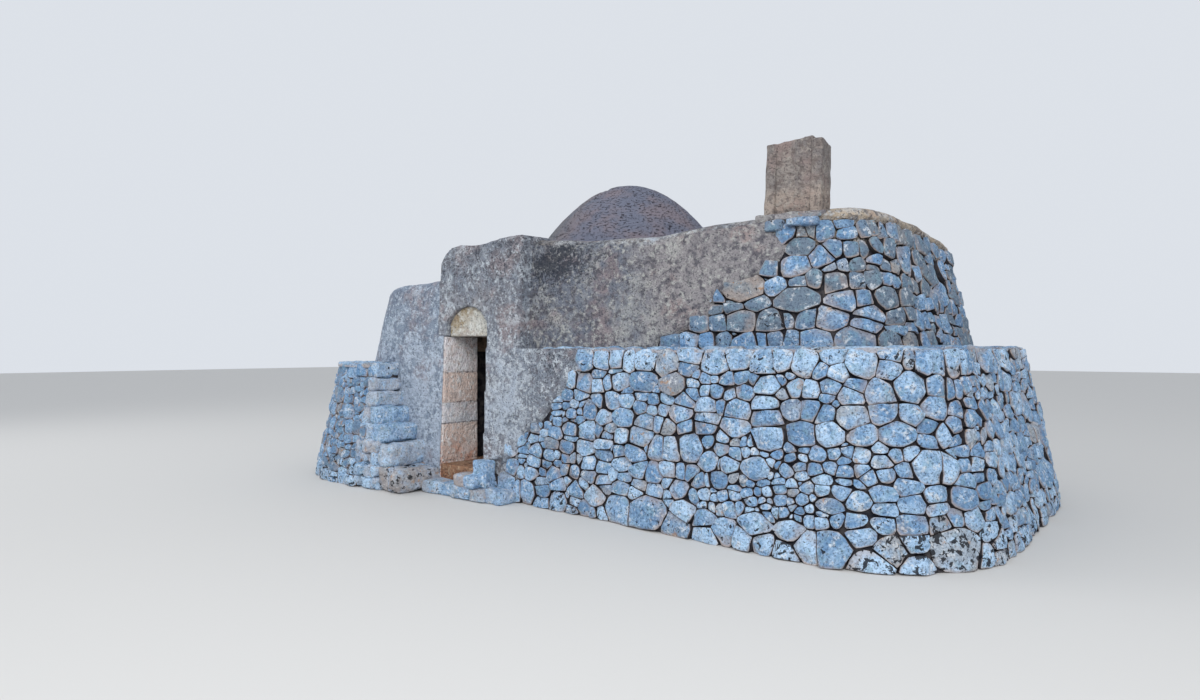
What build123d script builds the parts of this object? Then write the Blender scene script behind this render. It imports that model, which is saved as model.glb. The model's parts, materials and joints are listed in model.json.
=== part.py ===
"""Trullo house: a low dry stone house in two battered tiers, with a plastered portal, a dome and a chimney.

Millimetres, +Z up. The facade looks along -Y and the chimney end lies towards +X.
The origin is on the ground under the middle of the round room.
"""
import os
from math import cos, radians, sin, sqrt

from build123d import *

# Heights of the two tiers
ledge_top = 1670.0
upper_height = 930.0
floor_top = 300.0

# Round room, closed by corbelled rings
room_radius = 1350.0
rings_below_spring = 6
rings_above_spring = 4

# Dome, a parabola in outline
dome_inset = 10.0
dome_thickness = 260.0
dome_drum = 250.0
dome_rise = 1050.0
dome_bands = 10
dome_walk = 30.0

# Lower tier
front_wall = 1150.0
left_mass = 2150.0
right_mass = 3330.0
lower_slope = 0.205
foot_at_portal = 70.0
near_corner_radius = 900.0
far_corner_radius = 1750.0
left_back_radius = 1500.0
left_front_radius = 1280.0

# Joints of the masonry: bearings round the room in degrees, and a share of the right mass
joint_bearings = (-35.0, 62.0, 108.0, 155.0, 205.0, 325.0)
core_share = 0.37

# Upper tier, set back on the ledge
set_back_portal = 170.0
set_back_front = 430.0
set_back_side = 490.0
set_back_rear = 425.0
upper_slope = 0.22
plaster_slope = 0.05
upper_near_radius = 850.0
upper_far_radius = 1400.0
roof_left_radius = 600.0

# Shoulder to the left of the portal
shoulder_rise = 850.0
shoulder_fall = 120.0
shoulder_round_drop = 130.0
shoulder_round_inset = 90.0
shoulder_set_back = 60.0
shoulder_side_set_back = 560.0
shoulder_slope = 0.30
shoulder_front_radius = 800.0
shoulder_back_radius = 850.0
shoulder_facets = 8

# Left wing, which stands out in front of the plastered wall, and its stepped end from the top down
wing_out = 340.0
step_runs = (20.0, 50.0, 60.0, 110.0, 150.0, 200.0, 260.0)
step_rises = (180.0, 160.0, 190.0, 190.0, 210.0, 270.0, 280.0)
step_bevel = 25.0

# Portal: shares of its width and heights of its crest above the masonry
door_offset = 520.0
door_half_width = 360.0
left_pier_width = 140.0
right_pier_width = 510.0
portal_depth = 520.0
crest_shares = (0.0, 0.05, 0.135, 0.43, 0.74, 1.0)
crest_rises = (80.0, 175.0, 255.0, 262.0, 304.0, 320.0)
jamb_courses = (330.0, 440.0, 250.0, 360.0, 430.0)
jamb_bevel = 6.0
arch_spring_rise = 150.0
arch_crown_rise = 355.0
niche_depth = 75.0
lunette_thickness = 180.0
lintel_height = 150.0
lintel_cover = 20.0

# Passage behind the portal, roofed with long slabs
passage_half_width = 500.0
passage_rise = 1660.0
slab_thickness = 160.0
slab_bearing = 150.0
slab_count = 4

# Coping round the roof: crest heights above the masonry, side by side
coping_width = 400.0
coping_round = 95.0
front_shares = (0.0, 0.05, 0.16, 0.28, 0.5, 0.58, 0.66, 0.78, 0.9, 1.0)
front_crest = (285.0, 267.0, 242.0, 219.0, 206.0, 238.0, 267.0, 285.0, 315.0, 330.0)
near_crest = (330.0, 333.0, 343.0, 342.0, 329.0)
side_crest = (329.0, 328.0, 331.0, 290.0, 262.0)
rear_crest = 225.0
left_crest = 190.0
paving_thickness = 90.0

# Chimney of four upright slabs on a footing of flat stones, open at the top
chimney_inset = 182.0
chimney_set = 330.0
chimney_width = 520.0
chimney_depth = 340.0
chimney_turn = 8.0
chimney_slab = 90.0
chimney_recess = 20.0
chimney_rises = (672.0, 713.0, 675.0, 630.0)
front_slab_fall = 41.0
chimney_lean = 0.035
footing_rise = 320.0
footing_margin = 70.0

# Steps before the doorway
platform_reach = 300.0
platform_tops = (125.0, 110.0, 130.0)
platform_shares = (0.0, 0.34, 0.68, 1.0)
step_stone = (340.0, 290.0, 145.0)
side_stone = (210.0, 150.0, 150.0)

far = 9000.0


def block(x0, x1, y0, y1, z0, z1):
    """Upright block between two corners."""
    body = Box(x1 - x0, y1 - y0, z1 - z0)
    return Pos((x0 + x1) / 2, (y0 + y1) / 2, (z0 + z1) / 2) * body


def between(low, high, share):
    """Value part of the way from one to another."""
    return low + (high - low) * share


def prism_x(points, x0, x1):
    """Profile of y and z carried along X."""
    face = make_face(Polyline(*[(x0, y, z) for y, z in points], close=True))
    return extrude(face, x1 - x0, dir=(1, 0, 0))


def prism_y(points, y0, y1):
    """Profile of x and z carried along Y."""
    face = make_face(Polyline(*[(x, y0, z) for x, z in points], close=True))
    return extrude(face, y1 - y0, dir=(0, 1, 0))


def prism_z(points, z0, z1):
    """Plan of x and y carried upwards."""
    face = make_face(Polyline(*[(x, y, z0) for x, y in points], close=True))
    return extrude(face, z1 - z0, dir=(0, 0, 1))


def wall_x(x0, x1, face, inner, z0, z1, grow):
    """Wall along X whose outer face stands out by grow at its foot."""
    out = -grow if face < inner else grow
    return prism_x([(inner, z0), (face + out, z0), (face, z1), (inner, z1)], x0, x1)


def wall_y(y0, y1, face, inner, z0, z1, grow):
    """Wall along Y whose outer face stands out by grow at its foot."""
    out = -grow if face < inner else grow
    return prism_y([(inner, z0), (face + out, z0), (face, z1), (inner, z1)], y0, y1)


def turned_corner(x, y, radius, z0, z1, grow, to_x, to_y):
    """Quarter of a cone round the corner's own axis, on the side given by the signs."""
    cone = Cone(radius + grow, radius, z1 - z0, align=(Align.CENTER, Align.CENTER, Align.MIN))
    keep = block(min(0, to_x * far), max(0, to_x * far), min(0, to_y * far), max(0, to_y * far), 0, z1 - z0)
    return Pos(x, y, z0) * (cone & keep)


def ruled(sections):
    """Solid through a row of closed polygons."""
    wires = [Wire.make_polygon([Vector(*point) for point in section], close=True) for section in sections]
    return Solid.make_loft(wires, ruled=True)


def arc(x, y, radius, start, end, count):
    """Points of x and y along an arc."""
    turns = [radians(between(start, end, i / count)) for i in range(count + 1)]
    return [(x + radius * cos(turn), y + radius * sin(turn)) for turn in turns]


def sector(start, end, z0, z1):
    """Wedge round the room's axis between two bearings in degrees."""
    points = [(0.0, 0.0)]
    for bearing in (start, (start + end) / 2, end):
        points.append((far * cos(radians(bearing)), far * sin(radians(bearing))))
    return prism_z(points, z0, z1)


def drum(radius, z0, z1):
    """Cylinder on the room's axis."""
    return Pos(0, 0, z0) * Cylinder(radius, z1 - z0, align=(Align.CENTER, Align.CENTER, Align.MIN))


# Heights that follow from the sizes
masonry_top = ledge_top + upper_height
left_ledge_top = sum(step_rises)
lintel_underside = sum(jamb_courses)
shoulder_top = ledge_top + shoulder_rise
dome_spring = masonry_top + dome_drum

# Plan lines that follow from the sizes
dome_foot_radius = room_radius - dome_inset
clear_radius = dome_foot_radius + dome_walk
upper_grow = upper_slope * upper_height
facade = -(room_radius + front_wall)
rear = clear_radius + coping_width + upper_grow + set_back_rear
left_end = -(room_radius + left_mass)
right_end = room_radius + right_mass
wing_x = -(clear_radius + coping_width)
wing_front = facade - wing_out
door_axis = -door_offset
door_left = door_axis - door_half_width
door_right = door_axis + door_half_width
portal_left = door_left - left_pier_width
portal_right = door_right + right_pier_width
portal_back = facade + portal_depth
lower_grow = lower_slope * ledge_top
left_grow = lower_slope * left_ledge_top
left_rear = rear + lower_slope * (ledge_top - left_ledge_top)

# Lower tier: straight walls and turned corners, all leaning in
near_x = right_end - near_corner_radius
near_y = facade + near_corner_radius
back_x = right_end - far_corner_radius
back_y = rear - far_corner_radius
left_front_x = left_end + left_front_radius
left_front_y = wing_front + left_front_radius
left_back_x = left_end + left_back_radius
left_back_y = left_rear - left_back_radius
lower = ruled([
    [
        (portal_right, facade - foot_at_portal, 0), (near_x, facade - lower_grow, 0),
        (near_x, 0, 0), (portal_right, 0, 0),
    ],
    [
        (portal_right, facade, ledge_top), (near_x, facade, ledge_top),
        (near_x, 0, ledge_top), (portal_right, 0, ledge_top),
    ],
])
lower = Part() + lower
lower += turned_corner(near_x, near_y, near_corner_radius, 0, ledge_top, lower_grow, 1, -1)
lower += wall_y(near_y, back_y, right_end, portal_right, 0, ledge_top, lower_grow)
lower += turned_corner(back_x, back_y, far_corner_radius, 0, ledge_top, lower_grow, 1, 1)
lower += wall_x(wing_x, back_x, rear, 0, 0, ledge_top, lower_grow)
lower += wall_x(wing_x, portal_right, facade, 0, 0, ledge_top, foot_at_portal)
lower += wall_x(left_front_x, wing_x, wing_front, 0, 0, left_ledge_top, left_grow)
lower += turned_corner(left_front_x, left_front_y, left_front_radius, 0, left_ledge_top, left_grow, -1, -1)
lower += wall_y(left_front_y, left_back_y, left_end, wing_x, 0, left_ledge_top, left_grow)
lower += turned_corner(left_back_x, left_back_y, left_back_radius, 0, left_ledge_top, left_grow, -1, 1)
lower += wall_x(left_back_x, wing_x, left_rear, 0, 0, left_ledge_top, left_grow)

# Upper tier, its lines at the roof set in by the slope
upper_right = right_end - set_back_side
upper_rear = rear - set_back_rear
roof_right = upper_right - upper_grow
roof_rear = upper_rear - upper_grow
upper_near_x = upper_right - upper_near_radius
upper_near_y = facade + set_back_front + upper_near_radius
upper_far_x = upper_right - upper_far_radius
upper_far_y = upper_rear - upper_far_radius
near_roof_radius = upper_near_radius - upper_grow
far_roof_radius = upper_far_radius - upper_grow


def front_lines(z):
    """Front line of the upper wall at a height, beside the portal and at the near corner."""
    rise = z - ledge_top
    return facade + set_back_portal + plaster_slope * rise, facade + set_back_front + upper_slope * rise


def front_plan(z):
    """Plan of the upper front wall at a height."""
    at_portal, at_corner = front_lines(z)
    front = [(portal_right, at_portal, z), (upper_near_x, at_corner, z)]
    return front + [(upper_near_x, 0, z), (portal_right, 0, z)]


upper = Part() + ruled([front_plan(ledge_top), front_plan(masonry_top)])
upper += turned_corner(
    upper_near_x, upper_near_y, near_roof_radius, ledge_top, masonry_top, upper_grow, 1, -1
)
upper += wall_y(upper_near_y, upper_far_y, roof_right, portal_right, ledge_top, masonry_top, upper_grow)
upper += turned_corner(upper_far_x, upper_far_y, far_roof_radius, ledge_top, masonry_top, upper_grow, 1, 1)
upper += wall_x(wing_x, upper_far_x, roof_rear, 0, ledge_top, masonry_top, upper_grow)
upper += block(wing_x, portal_right, portal_back, 0, ledge_top, masonry_top)
roof_left_x = wing_x + roof_left_radius
roof_left_front_y = portal_back + roof_left_radius
roof_left_rear_y = roof_rear - roof_left_radius
for axis_y, to_y in ((roof_left_front_y, -1), (roof_left_rear_y, 1)):
    y0, y1 = sorted((axis_y, axis_y + to_y * far))
    square = block(-far, roof_left_x, y0, y1, shoulder_top, masonry_top)
    turned = Pos(roof_left_x, axis_y, shoulder_top) * Cylinder(
        roof_left_radius, masonry_top - shoulder_top, align=(Align.CENTER, Align.CENTER, Align.MIN)
    )
    upper -= square - turned

# Shoulder: a rounded mass beside the room and a thinner wall running on to the portal
shoulder_x = left_end + shoulder_side_set_back
shoulder_front = facade + shoulder_set_back


def shoulder_plan(z, inset):
    """Plan of the shoulder at a height, drawn in further by an inset near its top."""
    rise = z - left_ledge_top
    side = shoulder_x + shoulder_slope * rise + inset
    front = shoulder_front + plaster_slope * rise + inset
    back = upper_rear - upper_slope * (z - ledge_top) - inset
    r_front = min(shoulder_front_radius, wing_x - side - coping_round)
    r_back = min(shoulder_back_radius, wing_x - side - coping_round)
    plan = arc(side + r_back, back - r_back, r_back, 90, 180, shoulder_facets)
    plan += arc(side + r_front, front + r_front, r_front, 180, 270, shoulder_facets)
    plan += [(wing_x, front), (wing_x, back)]
    return [(x, y, z) for x, y in plan]


round_foot = shoulder_top - shoulder_round_drop
shoulder = Part() + ruled([shoulder_plan(left_ledge_top, 0), shoulder_plan(round_foot, 0)])
shoulder += ruled([shoulder_plan(round_foot, 0), shoulder_plan(shoulder_top, shoulder_round_inset)])
lean_low = plaster_slope * (round_foot - left_ledge_top)
lean_high = plaster_slope * (shoulder_top - left_ledge_top) + shoulder_round_inset
shoulder_wall = prism_x(
    [
        (shoulder_front + plaster_slope * (ledge_top - left_ledge_top), ledge_top),
        (shoulder_front + lean_low, round_foot), (shoulder_front + lean_high, shoulder_top),
        (portal_back, shoulder_top), (portal_back, ledge_top),
    ],
    wing_x, portal_left,
)
falling_top = prism_y(
    [
        (left_end, shoulder_top - shoulder_fall), (left_end, far),
        (portal_left, far), (portal_left, shoulder_top),
    ],
    -far, far,
)
shoulder -= falling_top
shoulder_wall -= falling_top

# Room: a straight drum, then corbelled rings that step in to the crown
spring_radius = dome_foot_radius - dome_thickness
crown_rise = dome_rise - dome_thickness
hollow = Part() + drum(room_radius, floor_top, ledge_top)
ring = (dome_spring - ledge_top) / rings_below_spring
for i in range(rings_below_spring):
    radius = between(room_radius, spring_radius, (i + 0.5) / rings_below_spring)
    hollow += drum(radius, ledge_top + i * ring, ledge_top + (i + 1) * ring)
crown_ring = crown_rise / rings_above_spring
for i in range(rings_above_spring):
    radius = spring_radius * sqrt(1 - (i + 0.5) / rings_above_spring)
    hollow += drum(radius, dome_spring + i * crown_ring, dome_spring + (i + 1) * crown_ring)
under_room = drum(room_radius, 0, floor_top)
room_side = hollow + under_room

# Doorway and the wider passage behind it, with slabs side by side over it
passage_left = door_axis - passage_half_width
passage_right = door_axis + passage_half_width
passage_end = -room_radius / 2
passage_top = floor_top + passage_rise
passage = block(passage_left, passage_right, portal_back, passage_end, 0, passage_top)
doorway = block(door_left, door_right, -far, portal_back, 0, lintel_underside)
portal_zone = block(portal_left, portal_right, -far, portal_back, 0, far)
slabs = []
for i in range(slab_count):
    y0 = between(portal_back, passage_end, i / slab_count)
    y1 = between(portal_back, passage_end, (i + 1) / slab_count)
    slab = block(
        passage_left - slab_bearing, passage_right + slab_bearing, y0, y1,
        passage_top, passage_top + slab_thickness,
    )
    slabs.extend((slab - room_side).solids())
lower = lower - portal_zone - passage - room_side
upper = upper - portal_zone - passage - room_side
for slab in slabs:
    upper -= slab

# Walls round the room in sectors, and the mass to its right in blocks
core_x = between(room_radius, right_end, core_share)
pieces = {}
for name, body, limit, z0, z1 in (
    ("lower", lower, -far, 0, ledge_top), ("upper", upper, wing_x, ledge_top, masonry_top)
):
    round_room = body & block(limit, core_x, -far, far, z0, z1)
    right_mass_body = body & block(core_x, far, -far, far, z0, z1)
    door_side = block(-far, door_axis, -far, far, z0, z1)
    for i, side in enumerate(("core", "back_wall", "back_left_wall", "left_wall")):
        wedge = sector(joint_bearings[i], joint_bearings[i + 1], z0, z1)
        pieces[name + "_" + side] = round_room & wedge
    front_mass = round_room & sector(joint_bearings[4], joint_bearings[5], z0, z1)
    pieces[name + "_front_left_wall"] = front_mass & door_side
    pieces[name + "_front_right_wall"] = front_mass - door_side
    pieces[name + "_front_wall"] = right_mass_body & block(core_x, upper_near_x, -far, upper_near_y, z0, z1)
    pieces[name + "_near_corner"] = right_mass_body & block(upper_near_x, far, -far, upper_near_y, z0, z1)
    pieces[name + "_right_side"] = right_mass_body & block(core_x, far, upper_near_y, far, z0, z1)
pieces["shoulder_front"] = shoulder & block(-far, far, -far, 0, 0, far)
pieces["shoulder_back"] = shoulder & block(-far, far, 0, far, 0, far)
pieces["shoulder_wall"] = shoulder_wall

# Stepped end of the wing, one bevelled stone to a course, wider from course to course
end_stones = []
end = wing_x
top = left_ledge_top
for run, rise in zip(step_runs, step_rises):
    end += run
    foot = top - rise
    profile = []
    for z in (foot, top):
        profile.append((wing_front - lower_slope * (left_ledge_top - z), z))
    for z in (top, foot):
        profile.append((facade - foot_at_portal * (1 - z / ledge_top), z))
    stone = prism_x(profile, wing_x, end)
    end_stones.append(chamfer(stone.edges(), min(step_bevel, run * 0.4)))
    top = foot
pieces["stepped_end"] = Compound(children=end_stones)

# Portal: head with a swelling crest, shallow arched niche, lunette slab, lintel and jambs
head_top = masonry_top + max(crest_rises) + coping_round
face_line = [
    (facade - foot_at_portal, 0), (facade, ledge_top),
    (facade + plaster_slope * (head_top - ledge_top), head_top),
]
portal = prism_x(face_line + [(portal_back, head_top), (portal_back, 0)], portal_left, portal_right)
crest = [
    (between(portal_left, portal_right, share), portal_back, masonry_top + rise)
    for share, rise in zip(crest_shares, crest_rises)
]
crest_line = Spline(*crest)
crest_sides = Polyline(
    crest_line @ 1, (portal_right, portal_back, lintel_underside),
    (portal_left, portal_back, lintel_underside), crest_line @ 0,
)
head = extrude(make_face(crest_line + crest_sides), portal_depth + foot_at_portal, dir=(0, -1, 0))
arch_spring = lintel_underside + arch_spring_rise
arch_crown = lintel_underside + arch_crown_rise
arch_face = make_face(
    Polyline(
        (door_left, facade, arch_spring), (door_left, facade, lintel_underside),
        (door_right, facade, lintel_underside), (door_right, facade, arch_spring),
    )
    + ThreePointArc(
        (door_right, facade, arch_spring), (door_axis, facade, arch_crown), (door_left, facade, arch_spring)
    )
)
slab_back = niche_depth + lunette_thickness
niche = Pos(0, -foot_at_portal, 0) * extrude(arch_face, foot_at_portal + slab_back, dir=(0, 1, 0))
lintel = block(
    portal_left + lintel_cover, door_right + left_pier_width - lintel_cover,
    facade + slab_back, portal_back, lintel_underside, lintel_underside + lintel_height,
)
pieces["portal_head"] = (portal & head) - niche - lintel
pieces["lunette_slab"] = Pos(0, niche_depth, 0) * extrude(arch_face, lunette_thickness, dir=(0, 1, 0))
pieces["inner_lintel"] = lintel
left_stones = []
foot = 0.0
for course in jamb_courses:
    stone = portal & block(portal_left, door_left, -far, far, foot, foot + course)
    left_stones.append(chamfer(stone.edges(), jamb_bevel))
    foot += course
pieces["portal_left_jamb"] = Compound(children=left_stones)
pieces["portal_right_pier"] = portal & block(door_right, portal_right, -far, far, 0, lintel_underside)
pieces["threshold"] = block(door_left, door_right, facade - foot_at_portal, portal_back, 0, floor_top)
pieces["passage_ceiling"] = Compound(children=slabs)
passage_floor = block(passage_left, passage_right, portal_back, passage_end, 0, floor_top) - under_room
pieces["room_floor"] = under_room + passage_floor

# Steps before the doorway: flat platform stones, a step stone and a side stone against the pier
platform_back = facade - foot_at_portal
platform_front = platform_back - platform_reach
platform = []
for i, top in enumerate(platform_tops):
    x0 = between(end, portal_right, platform_shares[i])
    x1 = between(end, portal_right, platform_shares[i + 1])
    skew = (x1 - x0) * 0.12
    plan = [
        (x0, platform_front + skew), (x0 + skew, platform_front), (x1 - skew, platform_front),
        (x1, platform_front + skew), (x1, platform_back), (x0, platform_back),
    ]
    platform.append(prism_z(plan, 0, top))
pieces["door_platform"] = Compound(children=platform)
step_foot = max(platform_tops)
step_length, step_depth, step_rise = step_stone
side_length, side_depth, side_rise = side_stone
step_x = door_right - step_length / 2
step_front = platform_back - step_depth
step_body = block(step_x, step_x + step_length, step_front, platform_back, step_foot, step_foot + step_rise)
side_x = door_right + lintel_cover
side_foot = step_foot + step_rise
side_front = platform_back - side_depth
side_body = block(side_x, side_x + side_length, side_front, platform_back, step_foot, side_foot + side_rise)
side_body -= step_body
step_solids = [chamfer(step_body.edges(), step_bevel)] + list(side_body.solids())
pieces["door_step"] = Compound(children=step_solids)

# Dome of conical bands on a low drum, hollowed by the corbelled rings
dome_profile = [(0, masonry_top), (dome_foot_radius, masonry_top)]
for i in range(dome_bands + 1):
    share = 1 - i / dome_bands
    dome_profile.append((dome_foot_radius * share, dome_spring + dome_rise * (1 - share * share)))
dome_face = make_face(Polyline(*[(r, 0, z) for r, z in dome_profile], close=True))
dome = revolve(dome_face, Axis.Z) - hollow
cap_joint = dome_spring + crown_ring * (rings_above_spring // 2)
pieces["dome_ring"] = dome & block(-far, far, -far, far, masonry_top, cap_joint)
pieces["dome_cap"] = dome & block(-far, far, -far, far, cap_joint, far)

# Coping: one cross-section after another along the roof's outer line, each with its own crest


def station(x, y, in_x, in_y, rise):
    """Cross-section of the coping at a place on the outer line, facing inwards."""
    crest_z = masonry_top + rise
    soft = 0.3 * coping_round
    lean = upper_slope * (rise - coping_round)
    profile = [
        (0, masonry_top), (lean, crest_z - coping_round), (lean + soft, crest_z - soft),
        (lean + coping_round, crest_z), (coping_width - coping_round, crest_z),
        (coping_width - soft, crest_z - soft), (coping_width, crest_z - coping_round),
        (coping_width, masonry_top),
    ]
    return [(x + in_x * s, y + in_y * s, z) for s, z in profile]


def turned_stations(x, y, radius, start, end_turn, rises):
    """Cross-sections round a corner of the roof."""
    found = []
    for i, rise in enumerate(rises):
        turn = radians(between(start, end_turn, i / (len(rises) - 1)))
        found.append((x + radius * cos(turn), y + radius * sin(turn), -cos(turn), -sin(turn), rise))
    return found


portal_line, corner_line = front_lines(masonry_top)
front_run = []
for share, rise in zip(front_shares, front_crest):
    front_run.append(
        (between(portal_right, upper_near_x, share), between(portal_line, corner_line, share), 0, 1, rise)
    )
near_run = turned_stations(upper_near_x, upper_near_y, near_roof_radius, 270, 360, near_crest)
side_run = []
for i, rise in enumerate(side_crest):
    side_y = between(upper_near_y, upper_far_y, i / (len(side_crest) - 1))
    side_run.append((roof_right, side_y, -1, 0, rise))
far_crest = [between(side_crest[-1], rear_crest, i / 6) for i in range(7)]
far_run = turned_stations(upper_far_x, upper_far_y, far_roof_radius, 0, 90, far_crest)
rear_run = [(upper_far_x, roof_rear, 0, -1, rear_crest), (roof_left_x, roof_rear, 0, -1, rear_crest)]
rear_turn = turned_stations(roof_left_x, roof_left_rear_y, roof_left_radius, 90, 180, [rear_crest] * 5)
left_run = [(wing_x, roof_left_rear_y, 1, 0, rear_crest), (wing_x, roof_left_front_y, 1, 0, left_crest)]
front_turn = turned_stations(roof_left_x, roof_left_front_y, roof_left_radius, 180, 270, [left_crest] * 5)
end_run = [(roof_left_x, portal_back, 0, 1, left_crest), (portal_left, portal_back, 0, 1, left_crest)]
chimney_x = upper_near_x - chimney_inset
chimney_share = (chimney_x - portal_right) / (upper_near_x - portal_right)
chimney_y = between(portal_line, corner_line, chimney_share) + chimney_set
stand = Pos(chimney_x, chimney_y, 0) * Rot(0, 0, chimney_turn)
half_w = chimney_width / 2
half_d = chimney_depth / 2
footing_top = masonry_top + footing_rise
foot_w = half_w + footing_margin
foot_d = half_d + footing_margin
footing = stand * block(-foot_w, foot_w, -foot_d, foot_d, masonry_top, footing_top)
footing_space = stand * block(-foot_w, foot_w, -foot_d, foot_d, masonry_top, far)
for name, runs in (
    ("coping_front", (front_run,)), ("coping_near_corner", (near_run,)),
    ("coping_side", (side_run, far_run)), ("coping_rear", (rear_run, rear_turn)),
    ("coping_left", (left_run, front_turn, end_run)),
):
    body = Part()
    for run in runs:
        body += ruled([station(*place) for place in run])
    pieces[name] = body - footing_space

# Roof paving inside the coping
inner_line = []
for run in (front_run, near_run, side_run, far_run, rear_run, rear_turn, left_run, front_turn, end_run):
    for x, y, in_x, in_y, rise in run:
        point = (round(x + in_x * coping_width, 6), round(y + in_y * coping_width, 6))
        if point not in inner_line:
            inner_line.append(point)
inner_line += [(portal_left, portal_back), (portal_right, portal_back)]
paving = prism_z(inner_line, masonry_top, masonry_top + paving_thickness)
pieces["roof_paving"] = paving - drum(dome_foot_radius, masonry_top, far) - footing

# Chimney
pieces["chimney_footing"] = footing
left_rise, front_rise, right_rise, back_rise = chimney_rises
slot = half_w - chimney_slab
front_y = chimney_recess - half_d
for name, x0, x1, y0, y1, rise, fall in (
    ("left", -half_w, -slot, -half_d, half_d, left_rise, 0.0),
    ("right", slot, half_w, -half_d, half_d, right_rise, 0.0),
    ("front", -slot, slot, front_y, front_y + chimney_slab, front_rise, front_slab_fall),
    ("back", -slot, slot, half_d - chimney_slab, half_d, back_rise, 0.0),
):
    foot_plan = [(x0, y0), (x1, y0), (x1, y1), (x0, y1)]
    shift = chimney_lean * rise
    head_plan = [(x + shift, y, footing_top + rise - fall * (x1 - x) / (x1 - x0)) for x, y in foot_plan]
    slab = ruled([[(x, y, footing_top) for x, y in foot_plan], head_plan])
    pieces["chimney_" + name + "_slab"] = stand * slab

os.makedirs("parts", exist_ok=True)
for name, piece in pieces.items():
    export_step(piece, "parts/" + name + ".step")
    print(name, round(piece.volume / 1e9, 3), len(piece.solids()))
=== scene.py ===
"""Looks of the trullo house: dry stones, weathered plaster, dome, chimney, studio and camera, in metres."""
import json
import logging
import math
from dataclasses import dataclass, field
from enum import Enum
from itertools import product
from typing import Callable, Optional, Sequence

import bpy
import numpy as np
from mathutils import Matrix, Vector

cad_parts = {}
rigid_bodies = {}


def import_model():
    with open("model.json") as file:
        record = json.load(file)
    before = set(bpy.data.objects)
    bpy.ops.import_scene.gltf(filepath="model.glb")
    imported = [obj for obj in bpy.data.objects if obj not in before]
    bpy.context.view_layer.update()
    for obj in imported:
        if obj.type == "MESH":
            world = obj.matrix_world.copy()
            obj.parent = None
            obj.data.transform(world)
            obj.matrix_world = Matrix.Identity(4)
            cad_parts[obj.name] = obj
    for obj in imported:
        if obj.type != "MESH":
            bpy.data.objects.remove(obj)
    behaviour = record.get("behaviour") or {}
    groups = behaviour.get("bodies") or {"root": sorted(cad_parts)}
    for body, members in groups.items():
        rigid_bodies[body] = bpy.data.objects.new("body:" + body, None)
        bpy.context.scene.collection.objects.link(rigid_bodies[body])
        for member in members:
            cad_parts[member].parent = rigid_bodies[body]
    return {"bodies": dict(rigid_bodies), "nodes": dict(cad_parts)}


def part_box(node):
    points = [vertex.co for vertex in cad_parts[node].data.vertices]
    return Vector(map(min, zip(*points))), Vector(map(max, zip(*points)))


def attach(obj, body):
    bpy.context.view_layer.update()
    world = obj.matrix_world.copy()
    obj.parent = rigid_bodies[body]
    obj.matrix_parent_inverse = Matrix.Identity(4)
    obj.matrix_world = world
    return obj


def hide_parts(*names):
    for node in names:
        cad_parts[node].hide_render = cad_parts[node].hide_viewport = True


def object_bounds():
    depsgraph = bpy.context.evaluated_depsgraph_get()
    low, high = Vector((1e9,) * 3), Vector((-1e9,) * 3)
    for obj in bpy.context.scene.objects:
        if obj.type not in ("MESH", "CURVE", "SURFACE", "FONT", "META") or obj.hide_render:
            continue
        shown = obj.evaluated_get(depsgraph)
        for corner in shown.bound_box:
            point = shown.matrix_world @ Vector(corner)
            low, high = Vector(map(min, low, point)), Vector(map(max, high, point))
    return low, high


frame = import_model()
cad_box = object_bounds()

logging.basicConfig(level=logging.INFO, format="%(message)s")
log = logging.getLogger("trullo")

Array = np.ndarray
Colour = tuple[float, float, float]
Along = Callable[..., Array]
ROOT = next(iter(frame["bodies"]))


class Slot(Enum):
    """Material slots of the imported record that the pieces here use."""

    STONE = "field_stone"
    PLASTER = "lime_plaster"
    DOME = "dome_plaster"
    TUFA = "tufa"
    WORN = "worn_stone"


def srgb(*steps: int) -> Colour:
    """Linear colour of a screen colour given in steps of 255."""
    return tuple(c / 255 / 12.92 if c <= 10 else ((c / 255 + 0.055) / 1.055) ** 2.4 for c in steps)


# Noise and outlines

NOISE_KEYS = np.array([73856093, 19349663, 83492791])
SEED_KEY = 2654435761
MIX_KEY = 1274126177


def noise(points: Array, size: float, seed: int) -> Array:
    """Smooth value noise between -1 and 1.

    Args:
        points: Places, in rows of three coordinates.
        size: Width of one bump in metres.
        seed: Number that picks the pattern.
    Returns:
        One value for each place.
    """
    scaled = points / size
    cell = np.floor(scaled).astype(np.int64)
    part = scaled - cell
    part = part * part * (3 - 2 * part)
    total = np.zeros(scaled.shape[:-1])
    for corner in product((0, 1), repeat=3):
        mixed = np.bitwise_xor.reduce((cell + np.array(corner)) * NOISE_KEYS, axis=-1) ^ (seed * SEED_KEY)
        mixed = (mixed ^ (mixed >> 13)) * MIX_KEY
        value = ((mixed ^ (mixed >> 16)) & 0xFFFF) / 32767.5 - 1
        total += np.prod(np.where(np.array(corner) == 1, part, 1 - part), axis=-1) * value
    return total


def layered(points: Array, size: float, seed: int, layers: int = 3) -> Array:
    """Sum of noise at halving sizes and halving strengths."""
    return sum(noise(points, size / 2**i, seed + i) / 2**i for i in range(layers)) / (2 - 2 ** (1 - layers))


def smooth(low: float, high: float, value: Array) -> Array:
    """Smooth step from 0 at low to 1 at high."""
    t = np.clip((value - low) / (high - low), 0, 1)
    return t * t * (3 - 2 * t)


def profile(value: Array, *points: tuple[float, float]) -> Array:
    """Height of a line through points over a value."""
    return np.interp(value, *zip(*points))


def level(value: float) -> Along:
    """Same value all along a wall."""
    return lambda along, *_: np.full_like(along, value)


def straight(start: Sequence[float], end: Sequence[float], count: int = 60) -> Array:
    """Points of a straight run in plan."""
    share = np.linspace(0, 1, count)[:, None]
    return np.array(start) * (1 - share) + np.array(end) * share


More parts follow.
